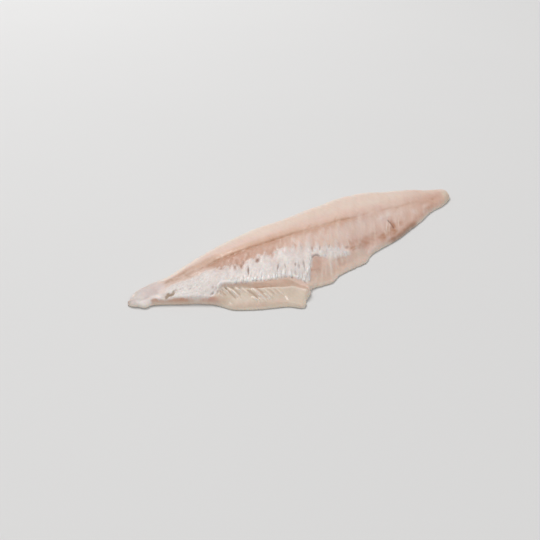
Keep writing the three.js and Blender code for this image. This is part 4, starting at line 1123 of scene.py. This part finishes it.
def flesh_material():
    t = Tree("wet_flesh")
    near = t.mapped()
    fibre = t.mapped((1.0, 0.16, 1.0), -43)  # stretched along the muscle
    broad = t.noise(near, 70, 3, 0.5)
    middle = t.noise(near, 330, 3, 0.55)
    grain = t.noise(near, 1500, 2, 0.6)
    threads = t.noise(fibre, 900, 3, 0.6, 0.3)

    col = t.mix(t.range(broad, 0.35, 0.68), srgb(227, 199, 184), srgb(222, 193, 182))
    col = t.mix(t.attribute("back"), col, srgb(229, 207, 193))
    # back rim: partly the edge's own whiter flesh, partly a painted highlight
    col = t.mix(t.attribute("rim", 0.87), col, srgb(236, 222, 211))
    col = t.mix(t.attribute("tail"), col, srgb(217, 183, 167))
    col = t.mix(t.attribute("peach", 0.88), col, srgb(211, 172, 147))
    col = t.mix(t.attribute("salmon", 0.95), col, srgb(198, 157, 135))
    col = t.mix(t.attribute("hot", 0.95), col, srgb(186, 138, 115))
    col = t.mix(t.attribute("blotch", 0.95), col, srgb(160, 122, 95))
    col = t.mix(t.attribute("skirt", 0.8), col, srgb(210, 190, 172))
    col = t.mix(t.attribute("brown", 0.92), col, srgb(184, 132, 103))
    col = t.mix(t.attribute("faint", 0.82), col, srgb(197, 153, 126))
    col = t.mix(t.attribute("pale", 0.9), col, srgb(232, 214, 206))
    col = t.mix(t.attribute("furrow", 0.9), col, srgb(178, 130, 100))
    col = t.mix(t.attribute("window", 0.85), col, srgb(199, 163, 146))
    col = t.mix(t.attribute("nape", 0.95), col, srgb(205, 192, 188))
    col = t.mix(t.attribute("beige", 0.8), col, srgb(206, 197, 190))
    # the nape's lilac tint, with painted shade
    col = t.mix(t.attribute("lilac_shade", 0.85), col, srgb(197, 180, 176))
    col = t.mix(t.attribute("flap"), col, srgb(210, 193, 176))
    col = t.mix(t.attribute("blush", 0.8), col, srgb(218, 185, 170))
    col = t.mix(t.attribute("seam", 0.92), col, srgb(211, 180, 161))
    # painted shade: hollows between the ribs, the step's right end and the flap's edge
    col = t.mix(t.attribute("gap_shade", 0.9), col, srgb(176, 148, 128))
    wall = t.mix(t.attribute("orange"), srgb(203, 168, 150), srgb(200, 150, 124))
    col = t.mix(t.attribute("wall"), col, wall)
    col = t.mix(t.attribute("red", 0.8), col, srgb(214, 165, 151))
    # crease: the orange crease along the step's foot, and the painted shadow line under the rolled lining edge
    col = t.mix(t.attribute("crease", 0.9), col, srgb(190, 146, 120))
    shaded = t.mix(t.attribute("fine"), srgb(206, 190, 186), srgb(196, 188, 184))
    lining = t.mix(t.attribute("bright"), shaded, srgb(249, 244, 240))
    lining = t.mix(t.range(middle, 0.42, 0.66, 0.0, 0.22), lining, srgb(220, 207, 201))
    col = t.mix(t.attribute("lining"), col, lining)
    # white: strands, ribs and ledge, and the nape's painted glint and painted rim highlight
    col = t.mix(t.attribute("white", 0.9), col, srgb(238, 223, 212))
    col = t.mix(t.attribute("lip", 0.85), col, srgb(248, 238, 235))
    col = t.mix(t.attribute("cream", 0.8), col, srgb(232, 221, 207))
    col = t.mix(t.attribute("tip", 0.7), col, srgb(218, 201, 180))
    col = t.mix(t.attribute("edgeline", 0.8), col, srgb(176, 132, 106))
    # dark: painted shade in the slits and holes, the arch and along the tail half's belly edge
    col = t.mix(t.attribute("dark", 0.9), col, srgb(132, 92, 76))
    col = t.mix(t.attribute("scrap", 0.95), col, srgb(160, 136, 114))
    col = t.mix(t.attribute("under"), col, t.mix(t.range(broad, 0.35, 0.68), srgb(222, 198, 184), srgb(215, 188, 174)))
    # faint muscle lines, threads and grain
    bare = t.math("SUBTRACT", 1.0, t.attribute("lining"), clamp=True)
    col = t.mix(t.math("MULTIPLY", t.attribute("myomere", 0.30), bare), col, srgb(240, 222, 210))
    col = t.mix(t.math("MULTIPLY", t.attribute("myodark", 0.28), bare), col, srgb(200, 158, 138))
    shade = t.math("MULTIPLY_ADD", threads, 0.15, 0.925)
    shade = t.math("MULTIPLY", shade, t.math("MULTIPLY_ADD", grain, 0.10, 0.95))
    n = t.nt.nodes.new("ShaderNodeCombineColor")
    for k in range(3):
        t.link(shade, n.inputs[k])
    col = t.mix(1.0, col, n.outputs[0], "MULTIPLY")
    t.link(col, t.bsdf.inputs["Base Color"])

    rough = t.math("MULTIPLY_ADD", middle, 0.22, 0.27)
    rough = t.math("ADD", rough, t.attribute("lining", 0.16))
    rough = t.math("SUBTRACT", rough, t.attribute("wet", 0.10))
    rough = t.math("ADD", rough, t.attribute("nape", 0.12))
    t.link(rough, t.bsdf.inputs["Roughness"])
    height = t.math("ADD", t.math("MULTIPLY", threads, 0.6), t.math("MULTIPLY", grain, 0.5))
    bump = t.nt.nodes.new("ShaderNodeBump")
    bump.inputs["Strength"].default_value = 0.35
    bump.inputs["Distance"].default_value = 0.00025
    t.link(height, bump.inputs["Height"])
    t.link(bump.outputs[0], t.bsdf.inputs["Normal"])
    b = t.bsdf.inputs
    b["Subsurface Weight"].default_value = 0.30
    b["Subsurface Radius"].default_value = (1.0, 0.55, 0.38)
    b["Subsurface Scale"].default_value = 0.0020
    b["IOR"].default_value = 1.38
    b["Specular IOR Level"].default_value = 0.5
    t.link(t.math("SUBTRACT", t.math("MULTIPLY_ADD", t.attribute("wet"), 0.35, 0.16), t.attribute("nape", 0.12)), b["Coat Weight"])
    b["Coat Roughness"].default_value = 0.16
    b["Coat IOR"].default_value = 1.36
    return t.mat


def plain_material(name, colour, rough):
    t = Tree(name)
    vec = t.mapped()
    spread = t.noise(vec, 6, 2, 0.5)
    c = tuple(v * 0.985 for v in colour[:3]) + (1,)
    t.link(t.mix(spread, colour, c), t.bsdf.inputs["Base Color"])
    t.bsdf.inputs["Roughness"].default_value = rough
    t.bsdf.inputs["Specular IOR Level"].default_value = 0.25
    return t.mat


# ---------------------------------------------------------------------------------------------------------------
# Scene
# ---------------------------------------------------------------------------------------------------------------
flesh = flesh_material()
for piece in (make_fillet(), make_strands()):
    piece.data.materials.append(flesh)
    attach(piece, "root")
    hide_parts("fillet")

# floor
floor_mesh = bpy.data.meshes.new("floor")
S = 6.0
floor_mesh.from_pydata([(-S, -S, 0), (S, -S, 0), (S, S, 0), (-S, S, 0)], [], [(0, 1, 2, 3)])
floor = bpy.data.objects.new("floor", floor_mesh)
bpy.context.scene.collection.objects.link(floor)
floor.data.materials.append(plain_material("pale_floor", (0.72, 0.72, 0.72, 1), 0.7))

# camera at the photograph's viewing angle
cam_data = bpy.data.cameras.new("camera")
cam = bpy.data.objects.new("camera", cam_data)
bpy.context.scene.collection.objects.link(cam)
bpy.context.scene.camera = cam
cam_data.sensor_width = 36
cam_data.lens = 45.12
cam_data.clip_start, cam_data.clip_end = 0.01, 50
right = Vector((0.83391, -0.55190, -0.00023)).normalized()
forward = Vector((0.47094, 0.71181, -0.52110)).normalized()
right = (right - forward * right.dot(forward)).normalized()
up = right.cross(forward)
turn = Matrix((right, up, -forward)).transposed()
cam.matrix_world = Matrix.Translation(((-93.44 - LENGTH / 2) / 1000, (-268.77 - Y_MID) / 1000, 0.18848)) @ turn.to_4x4()


def area(name, direction, distance, size, power, colour=(1, 1, 1)):
    data = bpy.data.lights.new(name, "AREA")
    data.shape, data.size, data.size_y = "RECTANGLE", size[0], size[1]
    data.energy, data.color = power, colour
    ob = bpy.data.objects.new(name, data)
    bpy.context.scene.collection.objects.link(ob)
    d = Vector(direction).normalized()
    ob.location = d * distance
    ob.rotation_mode = "QUATERNION"
    ob.rotation_quaternion = d.to_track_quat("Z", "Y")
    return ob


fwd = Vector((0.5518, 0.8340, 0))
side = Vector((0.8340, -0.5518, 0))
area("key", fwd * 0.75 - side * 0.45 + Vector((0, 0, 1.15)), 2.8, (1.12, 1.12), 45)
area("fill", -fwd * 0.9 + side * 0.2 + Vector((0, 0, 0.9)), 2.7, (2.4, 1.8), 13.5)
world = bpy.data.worlds.new("studio")
world.use_nodes = True
world.node_tree.nodes["Background"].inputs[0].default_value = (1.0, 0.985, 0.97, 1)
world.node_tree.nodes["Background"].inputs[1].default_value = 0.44
bpy.context.scene.world = world
bpy.context.scene.view_settings.view_transform = "Standard"
bpy.context.scene.view_settings.look = "None"
